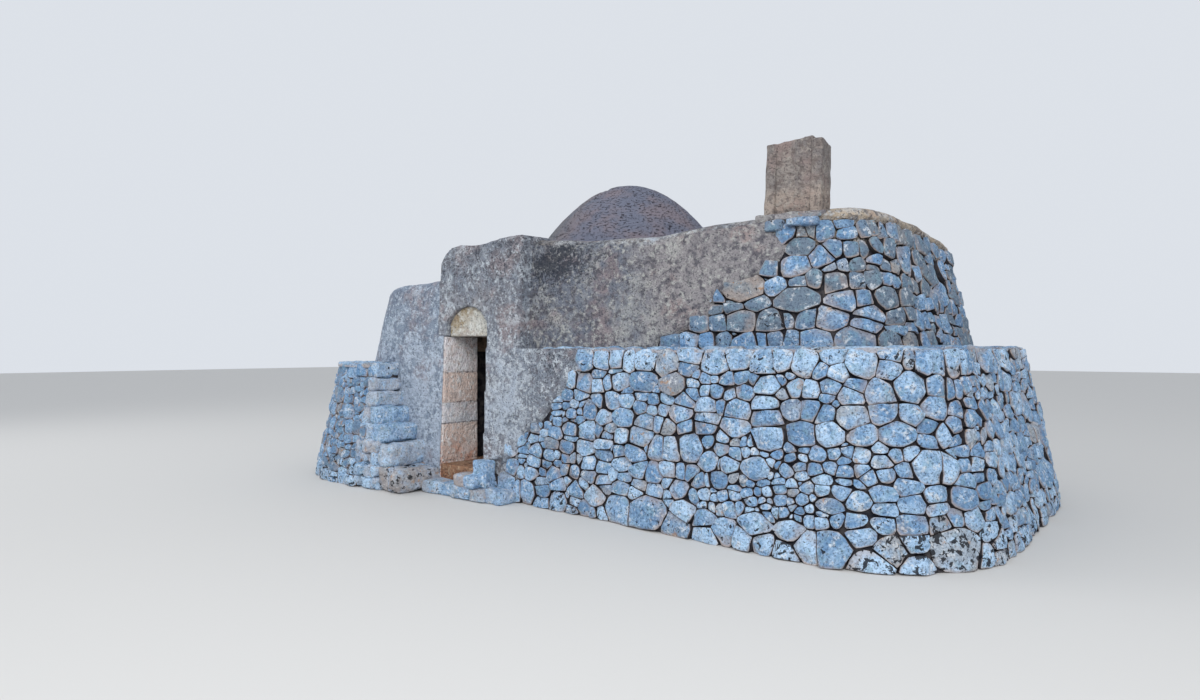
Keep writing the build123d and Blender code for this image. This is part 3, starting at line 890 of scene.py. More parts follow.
@dataclass(frozen=True)
class StoneFinish:
    """Weathered limestone with lichen. Marks: tone, hue, side, lichen. The side mark paints warm bounce
    light on the sides and undersides and shade in the gaps at the feet; on loose blocks it is a warmth that
    differs at random.
    """

    name: str = "dry_stone"
    # The blue of these stone colours is partly the blue of the open shade under the sky, painted into the
    # stone's colour
    grey: Colour = srgb(108, 149, 192)
    pale: Colour = srgb(194, 224, 252)
    shade: Colour = srgb(122, 128, 128)
    olive: Colour = srgb(136, 170, 186)
    white: Colour = srgb(232, 236, 240)
    dark: Colour = srgb(66, 82, 106)
    # Painted warm bounce light on the stones' sides and undersides; on loose blocks a warmth that differs
    # at random
    side: Colour = srgb(188, 168, 156)
    beige: Colour = srgb(170, 164, 158)
    lichen: Colour = srgb(34, 34, 38)
    ochre: Colour = srgb(190, 140, 85)
    # Painted shade of the deep gaps, on the stones' hidden feet
    joint: Colour = srgb(20, 22, 32)

    def build(self) -> bpy.types.Material:
        """Makes the material."""
        tree = Tree(self.name)
        tone, hue, side, spotty = tree.marks
        mottle = tree.grain(8.0, 5.0)
        fine = tree.grain(34.0, 5.0, 3.0)
        grit = tree.grain(110.0, 3.0, 5.0)
        pits = tree.grain(48.0, 2.0, 17.0).rise(0.64, 0.70)
        light = tone * 0.45 + spotty * 0.25 + mottle * 1.3 + fine * 1.2 - 1.15
        warm = side.least(1.0)
        limit = 0.735 - spotty * 0.20
        colour = tree.coats(
            self.grey,
            (self.pale, light.rise(0.0, 0.85)),
            (self.shade, (0.0 - tone).rise(-0.25, 0.6) * 0.7),
            (self.olive, tree.grain(12.0, 5.0, 41.0).rise(0.50, 0.64) * 0.5),
            (self.beige, hue.rise(0.82, 1.0) * tree.grain(5.0, 4.0, 51.0).rise(0.36, 0.56) * 0.75),
            (self.white, (tree.grain(15.0, 5.0, 7.0) + fine * 0.3).rise(0.69, 0.82) * 0.7),
            (self.dark, tree.grain(52.0, 5.0, 37.0).rise(0.50, 0.66) * 0.7),
            # Painted warm bounce light on the sides and undersides, and on the chipped faces
            (self.side, warm * (tree.grain(6.0, 3.0, 11.0) + warm * 0.25).rise(0.42, 0.66) * 0.85),
            (self.lichen, pits * 0.6),
            (self.ochre, tree.grain(12.0, 4.0, 23.0).rise(0.60, 0.68) * hue.rise(0.80, 0.86) * 0.55),
            (self.lichen, tree.grain(19.0, 3.0, 29.0, twist=0.5).rise(limit, limit + 0.03) * 0.93),
            # Painted shade of the gaps on the hidden feet of the stones
            (self.joint, side.rise(0.85, 1.4) * 0.92),
        )
        return tree.finish(colour, mottle * 1.6 + fine * 0.8 + grit * 0.25 - pits * 0.35, 0.035)


@dataclass(frozen=True)
class PlasterFinish:
    """Mottled lime plaster with lichen and stains. Marks: stain, warmth, lichen, rust."""

    name: str
    base: Colour
    warm: Colour
    white: Colour
    brown: Colour
    dark: Colour = srgb(52, 56, 66)
    rust: Colour = srgb(150, 96, 66)
    bare: Colour = srgb(170, 142, 134)
    crust: Colour = srgb(168, 180, 198)

    def build(self) -> bpy.types.Material:
        """Makes the material."""
        tree = Tree(self.name)
        stain, warmth, lichen, rust = tree.marks
        broad = tree.grain(1.7, 4.0)
        patch = tree.grain(8.0, 5.0, 5.0)
        blotch = tree.grain(21.0, 4.0, 9.0)
        brown = tree.grain(14.0, 5.0, 31.0)
        speck = tree.grain(58.0, 3.0, 19.0)
        cloud = tree.grain(3.2, 4.0, 61.0)
        crusted = lichen.rise(0.55, 1.0) * (patch * 0.6 + cloud * 0.4).rise(0.42, 0.62)
        streaks = tree.grain(9.0, 6.0, 27.0) * 0.5 + tree.grain(26.0, 5.0, 81.0) * 0.5
        colour = tree.coats(
            self.base,
            (self.warm, (warmth * 0.9 + broad * 0.8 + patch * 0.6 - 0.8).rise(0.0, 0.6)),
            (self.rust, rust * tree.grain(5.0, 5.0, 13.0).rise(0.3, 0.62) * 0.85),
            (self.bare, tree.grain(2.4, 4.0, 71.0).rise(0.50, 0.64) * 0.4),
            (self.white, cloud.rise(0.50, 0.66) * 0.5),
            (self.brown, (1.0 - cloud).rise(0.50, 0.68) * 0.4),
            (self.brown, (brown - lichen * 0.05).rise(0.47, 0.62) * 0.85),
            (self.white, (blotch * 0.9 + patch * 0.25 + lichen * 0.06).rise(0.57, 0.77) * 0.78),
            (self.white, (patch * 0.6 + blotch * 0.5 + lichen * 0.14).rise(0.60, 0.80) * 0.6),
            (self.crust, crusted * 0.6),
            (self.dark, (speck + stain * 0.06).rise(0.55, 0.66) * 0.75),
            (self.dark, (stain * 0.32 + streaks + speck * 0.3).rise(0.80, 0.95) * 0.85),
        )
        height = patch * 0.9 + blotch * 1.1 - brown * 0.5 + tree.grain(90.0, 4.0, 13.0) * 0.3 - speck * 0.3
        return tree.finish(colour, height, 0.04)


@dataclass(frozen=True)
class DomeFinish:
    """Pitted brown-grey render of the dome. The second mark is olive growth."""

    name: str = "dome_render"
    base: Colour = srgb(110, 114, 130)
    warm: Colour = srgb(126, 118, 126)
    olive: Colour = srgb(108, 114, 110)
    pit: Colour = srgb(48, 42, 50)

    def build(self) -> bpy.types.Material:
        """Makes the material."""
        tree = Tree(self.name)
        broad = tree.grain(1.8, 5.0)
        fine = tree.grain(55.0, 5.0, 4.0)
        pits = tree.grain(24.0, 3.0, 8.0, flat=2.6).rise(0.56, 0.64)
        colour = tree.coats(
            self.base, (self.warm, broad.rise(0.42, 0.62)), (self.olive, tree.marks[1] * 0.8),
            (self.pit, fine.rise(0.50, 0.75) * 0.35), (self.pit, pits * 0.75),
        )
        return tree.finish(colour, fine * 0.6 - pits * 1.2 + broad, 0.016)


@dataclass(frozen=True)
class CoreFinish:
    """Core seen in the joints between the stones, painted dark as the shade of the deep gaps. Marks: earth
    inside, lime on ledges and bare ends.
    """

    name: str = "rubble_core"
    # Painted shade of the deep gaps between the facing stones
    dark: Colour = srgb(28, 29, 38)
    light: Colour = srgb(80, 76, 76)
    inside: Colour = srgb(164, 142, 122)
    lime: Colour = srgb(132, 138, 148)

    def build(self) -> bpy.types.Material:
        """Makes the material."""
        tree = Tree(self.name)
        broad = tree.grain(9.0, 6.0)
        earth, limed = tree.marks[:2]
        colour = tree.coats(
            self.dark, (self.light, broad.rise(0.4, 0.68)),
            (self.inside, earth.rise(0.3, 0.7) * broad.rise(0.25, 0.6)),
            (self.lime, limed.rise(0.6, 0.9) * broad.rise(0.2, 0.5)),
        )
        return tree.finish(colour, broad + tree.grain(40.0, 4.0), 0.02)


# Finishes made like plaster: base, warm, white and brown colours, then dark and rust where they differ
# The blue-grey in the wall, portal and shoulder plaster is partly the blue of the open shade under the sky,
# painted into the finish
PLASTERS = {
    "wall_plaster": ((118, 124, 136), (150, 146, 148), (188, 188, 184), (92, 90, 98)),
    "portal_plaster": ((136, 144, 156), (158, 150, 148), (212, 220, 228), (112, 112, 120)),
    "shoulder_plaster": ((144, 158, 176), (158, 158, 164), (206, 218, 232), (116, 126, 144)),
    "coping_plaster": ((128, 134, 144), (190, 174, 154), (200, 204, 208), (104, 102, 104)),
    "paving": (
        (138, 142, 146), (168, 160, 148), (196, 200, 202), (116, 110, 104), (52, 56, 66), (150, 146, 140),
    ),
    # Its warm colour goes to the lunette's upper left: partly real ochre, partly painted shadow of the
    # niche
    "lunette_plaster": ((202, 199, 190), (170, 152, 122), (228, 228, 222), (196, 184, 166)),
    "sawn_tufa": ((134, 128, 126), (170, 156, 146), (168, 160, 152), (118, 108, 104), (86, 80, 80)),
    # Near-white jamb colours: painted light, raised to stand in for the light that the doorway's recess
    # keeps from the jamb
    "jamb_stone": (
        (246, 242, 246), (244, 220, 208), (255, 255, 255), (220, 202, 194), (104, 96, 96), (206, 126, 84),
    ),
    "worn_stone": ((176, 140, 112), (196, 132, 88), (206, 178, 148), (128, 92, 70)),
}


@dataclass
class Materials:
    """Finishes shared by the parts."""

    dry_stone: bpy.types.Material
    rubble_core: bpy.types.Material
    dome_render: bpy.types.Material
    wall_plaster: bpy.types.Material
    portal_plaster: bpy.types.Material
    shoulder_plaster: bpy.types.Material
    coping_plaster: bpy.types.Material
    paving: bpy.types.Material
    lunette_plaster: bpy.types.Material
    sawn_tufa: bpy.types.Material
    jamb_stone: bpy.types.Material
    worn_stone: bpy.types.Material

    @classmethod
    def make(cls) -> "Materials":
        """Builds every finish once."""
        finishes = [StoneFinish(), CoreFinish(), DomeFinish()]
        for name, colours in PLASTERS.items():
            finishes.append(PlasterFinish(name, *(srgb(*colour) for colour in colours)))
        return cls(**{finish.name: finish.build() for finish in finishes})


# Plan of the house, as in the CAD source


@dataclass(frozen=True)
class Plan:
    """Sizes of the house in metres, with its plan lines."""

    ledge: float = 1.67
    wing_ledge: float = 1.48
    masonry: float = 2.60
    facade: float = -2.50
    rear: float = 2.3996
    right: float = 4.68
    left: float = -3.50
    wing: float = -1.77
    wing_out: float = 0.34
    wing_ledge_width: float = 0.5
    door: float = -0.52
    door_half: float = 0.36
    portal_right: float = 0.35
    portal_foot: float = 0.07
    slope: float = 0.205
    near_radius: float = 0.90
    far_radius: float = 1.75
    wing_front_radius: float = 1.28
    wing_back_radius: float = 1.50
    upper_slope: float = 0.22
    upper_portal: float = 0.17
    upper_front: float = 0.43
    upper_side: float = 0.49
    upper_near_radius: float = 0.85
    upper_far_radius: float = 1.40
    upper_rear_back: float = 0.425
    wall_inside: float = 1.40

    def circuit(
        self, portal: float, front: float, right: float, rear: float, near: float, far: float
    ) -> Array:
        """Line round the house from the portal by the right end to the rear of the wing.

        Args:
            portal, front: Places of the front line beside the portal and at the near corner.
            right, rear: Places of the right and rear lines.
            near, far: Radii of the two corners.
        Returns:
            Points in rows of two.
        """
        near_x, near_y, far_x, far_y = right - near, front + near, right - far, rear - far
        return np.vstack([
            straight((self.portal_right, portal), (near_x, front), 180),
            turned(near_x, near_y, near, -90, 0),
            straight((right, near_y), (right, far_y)),
            turned(far_x, far_y, far, 0, 90),
            straight((far_x, rear), (self.wing, rear), 180),
        ])

    def lower_line(self, out: float, portal_out: float) -> Array:
        """Line of the lower tier, moved outward."""
        return self.circuit(
            self.facade - portal_out, self.facade - out, self.right + out, self.rear + out,
            self.near_radius + out, self.far_radius + out,
        )

    def upper_line(self, rise: float) -> Array:
        """Line of the upper tier at a height over the ledge."""
        back = self.upper_slope * rise
        return self.circuit(
            self.facade + self.upper_portal + 0.05 * rise, self.facade + self.upper_front + back,
            self.right - self.upper_side - back, self.rear - self.upper_rear_back - back,
            self.upper_near_radius - back, self.upper_far_radius - back,
        )

    def wing_line(self, out: float) -> Array:
        """Line of the wing from its rear round the left end to the steps, moved outward."""
        rear = self.rear + self.slope * (self.ledge - self.wing_ledge)
        front = self.facade - self.wing_out
        back_x, back_y = self.left + self.wing_back_radius, rear - self.wing_back_radius
        front_x, front_y = self.left + self.wing_front_radius, front + self.wing_front_radius
        return np.vstack([
            straight((self.wing, rear + out), (back_x, rear + out)),
            turned(back_x, back_y, self.wing_back_radius + out, 90, 180),
            straight((self.left - out, back_y), (self.left - out, front_y)),
            turned(front_x, front_y, self.wing_front_radius + out, 180, 270),
            straight((front_x, front - out), (self.wing, front - out)),
        ])

    def lower_wall(self) -> Wall:
        """Lower tier from the doorway's right side round to the rear of the wing."""
        sides = []
        for out, portal in ((self.slope * self.ledge, self.portal_foot), (0.0, 0.0)):
            front = self.facade - portal
            pier = straight((self.door + self.door_half, front), (self.portal_right, front))
            sides.append(np.vstack([pier[:-1], self.lower_line(out, portal)]))
        return Wall(*sides, 0.0, self.ledge)

    def wing_wall(self) -> Wall:
        """Wing from its rear round the left end to the steps."""
        return Wall(self.wing_line(self.slope * self.wing_ledge), self.wing_line(0.0), 0.0, self.wing_ledge)

    def upper_wall(self) -> Wall:
        """Upper tier from the portal round to the left end of the roof."""
        head = self.upper_line(self.masonry - self.ledge)
        return Wall(self.upper_line(0.0), head, self.ledge, self.masonry)

    def ledge_wall(self) -> Wall:
        """Flat top of the lower tier, from its edge to the upper wall."""
        return Wall(self.lower_line(0.0, 0.0), self.upper_line(0.0), 0.0, self.upper_front, self.ledge)

    def wing_ledge_wall(self) -> Wall:
        """Flat top of the wing, from its edge to a line under the shoulder."""
        width = self.wing_ledge_width
        return Wall(self.wing_line(0.0), self.wing_line(-width), 0.0, width, self.wing_ledge)

    def crest(self, x: Array, y: Array) -> Array:
        """Height of the roof's coping at places in plan."""
        near_x = self.right - self.upper_side - self.upper_near_radius
        front = profile(
            (x - self.portal_right) / (near_x - self.portal_right),
            (0.0, 0.285), (0.05, 0.267), (0.16, 0.242), (0.28, 0.219), (0.5, 0.206),
            (0.58, 0.238), (0.66, 0.267), (0.78, 0.285), (0.9, 0.315), (1.0, 0.33),
        )
        side = profile(y, (-1.22, 0.33), (-0.32, 0.33), (0.13, 0.29), (0.57, 0.262), (1.9, 0.225))
        return self.masonry + np.where(x > near_x, side, np.where(y > 0, 0.225, front))

    def crest_along(self, wall: Wall, drop: float) -> Along:
        """Height a little below the coping's top, for distances along the upper wall."""

        def height(along: Array) -> Array:
            at = wall.surface(along, np.full_like(along, self.masonry))
            return self.crest(at[..., 0], at[..., 1]) - drop

        return height


# Loose blocks

CUBE_STEPS = 8
BUNCHING = 0.8


@dataclass
class Block:
    """Rough block of stone: middle, size, turn about the upright in degrees, and its four marks."""

    centre: tuple[float, float, float]
    size: tuple[float, float, float]
    turn: float
    marks: tuple[float, float, float, float]


def cube_shell(steps: int) -> tuple[Array, Array]:
    """Points of a cube from -1 to 1, closer together near its edges, and its faces."""
    line = np.sin(np.linspace(-1, 1, steps + 1) * math.pi / 2 * BUNCHING) / math.sin(math.pi / 2 * BUNCHING)
    u, v = (grid.ravel() for grid in np.meshgrid(line, line))
    quads = grid_faces(steps + 1, steps + 1)
    shell, faces = [], []
    for axis, sign in product(range(3), (-1.0, 1.0)):
        side = np.empty((len(u), 3))
        side[:, axis], side[:, (axis + 1) % 3], side[:, (axis + 2) % 3] = sign, u, v
        faces.append((quads if sign > 0 else quads[:, ::-1]) + len(shell) * len(u))
        shell.append(side)
    cube = np.vstack(shell)
    keys = np.round(cube * 1e5).astype(np.int64)
    _, first, back = np.unique(keys, axis=0, return_index=True, return_inverse=True)
    return cube[first], back.ravel()[np.vstack(faces)]


def blocks(name: str, items: Sequence[Block], seed: int, rounding: float, rough: float) -> bpy.types.Object:
    """One mesh of rounded and roughened blocks.

    Args:
        name: Name of the object.
        items: The blocks.
        seed: Number that picks the pattern of lumps.
        rounding: Radius of the edges as a share of the smallest size.
        rough: Height of the lumps in metres.
    Returns:
        The new object.
    """
    cube, faces = cube_shell(CUBE_STEPS)
    points, finish = [], []
    for i, block in enumerate(items):
        half = np.array(block.size) / 2
        radius = rounding * half.min() * 2
        inner = np.clip(cube * half, -(half - radius), half - radius)
        away = cube * half - inner
        away /= np.maximum(np.linalg.norm(away, axis=1, keepdims=True), 1e-9)
        local = inner + radius * away
        lumps = layered(local + i * 3.1 + seed, 0.16, seed, 3) * rough
        lumps = lumps + noise(local + i * 1.7, 0.04, seed) * rough * 0.25
        x, y, z = (local + away * lumps[:, None]).T
        turn = math.radians(block.turn)
        across, back = x * math.cos(turn) - y * math.sin(turn), x * math.sin(turn) + y * math.cos(turn)
        points.append(np.stack([across, back, z], 1) + np.array(block.centre))
        finish.append(np.tile(block.marks, (len(local), 1)))
    points = np.vstack(points)
    points[:, 2] = np.maximum(points[:, 2], 0.0)
    faces = np.vstack([faces + i * len(cube) for i in range(len(items))])
    return mesh_object(name, points, faces, np.vstack(finish))


def marks(*values: Array | float) -> Array:
    """Four marks for each place, of which one or more differ from place to place."""
    return np.clip(np.stack(np.broadcast_arrays(*values), -1), 0, 1)


def spot(*axes: tuple[Array, float, float]) -> Array:
    """Soft round patch, 1 in its middle, from places on each axis with its middle and half width there."""
    return np.exp(-sum(((at - middle) / half) ** 2 for at, middle, half in axes))


# The house, one class for each of its parts


@dataclass
class Core:
    """Masonry behind the facing stones, seen only in the joints and inside."""

    plan: Plan
    materials: Materials
    depth: float = 0.05
    ledge_drop: float = 0.04
    tolerance: float = 0.002

    def build(self) -> None:
        """Copies each CAD wall with its outer faces sunk behind the facing."""
        lower, wing, upper = self.plan.lower_wall(), self.plan.wing_wall(), self.plan.upper_wall()
        for node, obj in frame["nodes"].items():
            if not node.startswith(("lower_", "upper_")):
                continue
            points = vertices(obj)
            for wall in (lower, wing) if node.startswith("lower_") else (upper,):
                points = wall.sunk(points, self.depth)
            for ledge in (self.plan.ledge, self.plan.wing_ledge):
                points[:, 2] -= np.where(np.abs(points[:, 2] - ledge) < self.tolerance, self.ledge_drop, 0)
            corners = points[triangles(obj)]
            faces = np.arange(corners.size // 3).reshape(-1, 3)
            copy = mesh_object(node + "_core", corners.reshape(-1, 3), faces, self.tint(corners))
            shade(copy.data, False)
            dress(copy, Slot.STONE, self.materials.rubble_core, node)

    def tint(self, corners: Array) -> Array:
        """Earth in the room and the passage, lime on ledges and on faces toward the left."""
        plan, (x, y, z) = self.plan, np.moveaxis(corners, -1, 0)
        across = np.cross(corners[:, 1] - corners[:, 0], corners[:, 2] - corners[:, 0])
        across /= np.maximum(np.linalg.norm(across, axis=1, keepdims=True), 1e-12)
        room = np.hypot(x, y) < plan.wall_inside
        passage = (np.abs(x - plan.door) < 0.55) & (y > plan.facade + 0.45) & (y < 2.0)
        limed = ((across[:, 2] > 0.9) | (across[:, 0] < -0.5))[:, None] & (z > plan.wing_ledge - 0.1)
        return marks((room | passage).all(1)[:, None], limed, 0.0, 0.0).reshape(-1, 4)


@dataclass
class LowerTier:
    """Facing of the lower walls: stones, plaster beside the portal, stones on the ledge."""

    plan: Plan
    materials: Materials

    def inside(self, along: Array, height: Array) -> Array:
        """Share by which a place lies within the plaster beside the portal."""
        edge = profile(
            height, (0.30, -0.20), (0.47, 0.26), (0.70, 0.43), (1.01, 0.80), (1.28, 1.08), (1.67, 1.39)
        )
        return (edge - (along + self.plan.door + self.plan.door_half)) * 0.7

    def build(self) -> None:
        """Makes the stone fields and the plaster."""
        plan, wall, stone = self.plan, self.plan.lower_wall(), self.materials.dry_stone
        out, top = plan.right + 0.15, level(plan.ledge - 0.005)
        near_corner = wall.along_at(plan.right - 0.1, plan.facade + 0.1)

        def lichen(along: Array, height: Array) -> Array:
            near = 0.5 * np.exp(-((along - near_corner) / 0.7) ** 2)
            bands = 0.75 * smooth(0.55, 0.0, height) + 0.45 * smooth(1.35, 1.6, height)
            return bands + smooth(0.6, 0.3, height) * near

        parts = wall.parts(
            "rear_left", front_left=(1.9, -2.7), front_right=(plan.right - plan.near_radius, -2.7),
            near_corner=(out, plan.facade + 0.9), right=(out, plan.rear - plan.far_radius),
            far_corner=(plan.right - plan.far_radius, plan.rear + 0.15), rear_right=(0.4, plan.rear + 0.15),
        )
        Rubble(
            "lower_stones", wall, 0.0, wall.length, level(0.0), top, 40, parts,
            covered=lambda along, height: self.inside(along, height) > 0.03, lichen=lichen,
        ).build(stone)
        Skin(
            "lower_plaster", wall, 0.1, 2.1, level(0.2), top,
            lambda along, height: np.minimum(self.inside(along, height), (along - 0.36) * 0.5),
            71, self.tint,
        ).build(self.materials.portal_plaster)
        self.left_of_door()
        ledge = plan.ledge_wall()
        Rubble(
            "ledge_stones", ledge, 0.3, ledge.length, level(0.012), level(0.42), 77,
            ledge.parts("rear", front=(4.4, -1.5)),
            StoneSize(0.0, (0.14, 0.2), 0.0, stand_out=(0.03, 0.045), sink=0.03), 14,
            lichen=level(0.3), warm_sides=0.4,
        ).build(stone)

    def left_of_door(self) -> None:
        """Makes the plaster between the wing and the doorway, folded over the shoulder's foot."""
        plan = self.plan
        ends = (plan.wing, plan.door - plan.door_half - 0.012)
        sides = (plan.facade - plan.portal_foot, plan.facade)
        foot, head = (straight(*((x, y) for x in ends)) for y in sides)
        wall = Wall(foot, head, 0.0, plan.ledge)
        Skin(
            "left_plaster", wall, 0.0, wall.length, level(0.0),
            lambda along: plan.ledge + 0.04 + 0.11 * smooth(0.70, 0.80, along), level(1.0), 72,
            lambda points: marks(0.0, 0.2, 1.1 * smooth(1.5, 0.5, points[:, 2]) + 0.9, 0.0), 0.012, 0.14,
        ).build(self.materials.shoulder_plaster)

    def tint(self, points: Array) -> Array:
        """Pale beside the doorway, greyer to the right and under the ledge."""
        right = smooth(0.3, 0.7, points[:, 0])
        return marks(0.15 + 0.3 * right * smooth(0.9, 1.5, points[:, 2]), 0.15, 0.9 - 0.6 * right, 0.0)


@dataclass
class UpperTier:
    """Facing of the upper walls: plaster at the front, stones round the right end and the rear."""

    plan: Plan
    materials: Materials

    def inside(self, along: Array, height: Array) -> Array:
        """Share by which a place lies within the plaster of the front."""
        edge = profile(
            height, (1.60, 1.85), (1.74, 2.04), (1.87, 2.25), (1.98, 2.44), (2.11, 2.48), (2.26, 2.70),
            (2.31, 2.91), (2.43, 3.14), (2.60, 3.16), (2.82, 3.08), (3.0, 3.05),
        )
        return (edge - (along + self.plan.portal_right)) * 0.7

    def build(self) -> None:
        """Makes the stone fields and the plaster."""
        plan, wall = self.plan, self.plan.upper_wall()
        parts = wall.parts(
            "rear_left", front=(3.34, -2.25), near_corner=(4.1, -1.22), right=(4.1, 0.57),
            far_corner=(2.79, 1.9), rear_right=(0.5, 1.9),
        )
        size = StoneSize(low_row=0.18, row=(0.17, 0.32), top_row=0.2, gap=(0.004, 0.022), stretch=1.4)
        Rubble(
            "upper_stones", wall, 1.3, wall.length, level(plan.ledge - 0.02), plan.crest_along(wall, 0.10),
            60, parts, size, covered=lambda along, height: self.inside(along, height) > 0.03,
            lichen=level(0.3), tone=(-0.9, 0.35),
        ).build(self.materials.dry_stone)
        Skin(
            "upper_plaster", wall, 0.0, 3.1, level(plan.ledge - 0.01), plan.crest_along(wall, 0.06),
            self.inside, 81, self.tint,
        ).build(self.materials.wall_plaster)

    def tint(self, points: Array) -> Array:
        """Stains of the upper plaster: a dark patch under the rim, warmer to the right."""
        x, _, z = points.T
        patch = spot((x, 0.80, 0.55), (z, 2.62, 0.24)) + 0.4 * spot((x, 0.5, 0.3), (z, 2.3, 0.5))
        pale = 0.5 * smooth(1.95, 1.7, z) + spot((x, 1.75, 0.38), (z, 2.78, 0.12))
        return marks(0.12 + patch * 0.8, smooth(0.9, 2.6, x) * 0.9, pale, 0.0)


@dataclass
class Wing:
    """Left wing: rubble round its end, blocks on its steps, stones on its ledge."""

    plan: Plan
    materials: Materials
    runs: tuple[float, ...] = (0.02, 0.05, 0.06, 0.11, 0.15, 0.20, 0.26)
    rises: tuple[float, ...] = (0.28, 0.27, 0.21, 0.19, 0.19, 0.16, 0.18)
    first_widths: tuple[float, float] = (0.2, 0.29)
    widths: tuple[float, float] = (0.12, 0.24)
    low_rise: float = 0.2
    big_stone: float = 0.46
    big_marks: tuple[float, ...] = (0.7, 0.97, 0.5, 0.8)

    def build(self) -> None:
        """Makes the rubble fields, the steps and the ledge."""
        plan, wall, stone = self.plan, self.plan.wing_wall(), self.materials.dry_stone
        areas = ((0.05, 0.15), (0.03, 0.45), (0.018, 0.4))
        Rubble(
            "wing_stones", wall, 0.0, wall.length, level(0.0), level(plan.wing_ledge - 0.005), 90,
            wall.parts(
                "front", rear=(plan.left, 0.94), left=(plan.left, -1.56),
                front_corner=(plan.left + plan.wing_front_radius, -2.99),
            ),
            StoneSize(0.24, (0.13, 0.24), 0.15, areas, (0.2, 0.5), 0.025, gap=(0.001, 0.009)), 17,
            warm_sides=0.65, tone=(-0.25, 0.75),
        ).build(stone)
        ledge = plan.wing_ledge_wall()
        size = StoneSize(0.0, (0.16, 0.22), 0.0, stand_out=(0.03, 0.045), sink=0.034)
        Rubble(
            "wing_ledge_stones", ledge, 0.0, ledge.length - 0.1, level(-0.02), level(plan.wing_ledge_width),
            78, ledge.parts("all"), size, 14, lichen=level(0.3), warm_sides=0.4,
        ).build(stone)
        self.steps()

    def steps(self) -> None:
        """Makes each step of the wing's end from blocks, with one big stone at the foot."""
        rng = np.random.default_rng(5)
        plan, items, low = self.plan, [], 0.0
        back = plan.facade + 0.02
        for i, rise in enumerate(self.rises):
            at = plan.wing + sum(self.runs[: len(self.runs) - i])
            front = plan.facade - plan.wing_out - plan.slope * (plan.wing_ledge - low - rise / 2)
            lichen = float(0.3 * smooth(0.5, 0.0, np.array(low)) + 0.2)
            first = True
            while at > plan.wing - 0.02:
                big = first and i == 0
                wide = rng.uniform(*(self.first_widths if first else self.widths))
                wide = min(self.big_stone if big else wide, at - plan.wing + 0.1)
                split = 1 if first or rise < self.low_rise or rng.uniform() < 0.4 else 2
                tall = rise / split
                for j in range(split):
                    y = (front + back) / 2 + rng.uniform(-0.015, 0.01)
                    mark = (rng.uniform(0.6, 1.4), rng.uniform(0, 0.93), rng.uniform(0, 0.6), lichen)
                    mark = self.big_marks if big else mark
                    size = (wide * rng.uniform(0.96, 1.04), back - front, tall * rng.uniform(0.95, 1.04))
                    middle = (at - wide / 2, y, low + tall * (j + 0.5))
                    items.append(Block(middle, size, rng.uniform(-9, 9), mark))
                at -= wide
                first = False
            low += rise
        stones = blocks("step_blocks", items, 12, 0.26, 0.06)
        dress(stones, Slot.STONE, self.materials.dry_stone, "stepped_end")


@dataclass
class Shoulder:
    """Rounded plastered mass left of the portal."""

    materials: Materials

    def build(self) -> None:
        """Makes one weathered copy of its solids."""
        nodes = ("shoulder_front", "shoulder_back", "shoulder_wall")
        copy = Weathered("shoulder_plaster", nodes, 0.031, 0.002, 0.020, 21, self.tint, 0.4)
        copy.build(Slot.PLASTER, self.materials.shoulder_plaster)

    def tint(self, points: Array) -> Array:
        """White low down, streaked with grey above."""
        z = points[:, 2]
        return marks(0.2 * smooth(1.9, 2.5, z), 0.2, 0.2 + 0.7 * smooth(2.1, 1.5, z), 0.0)


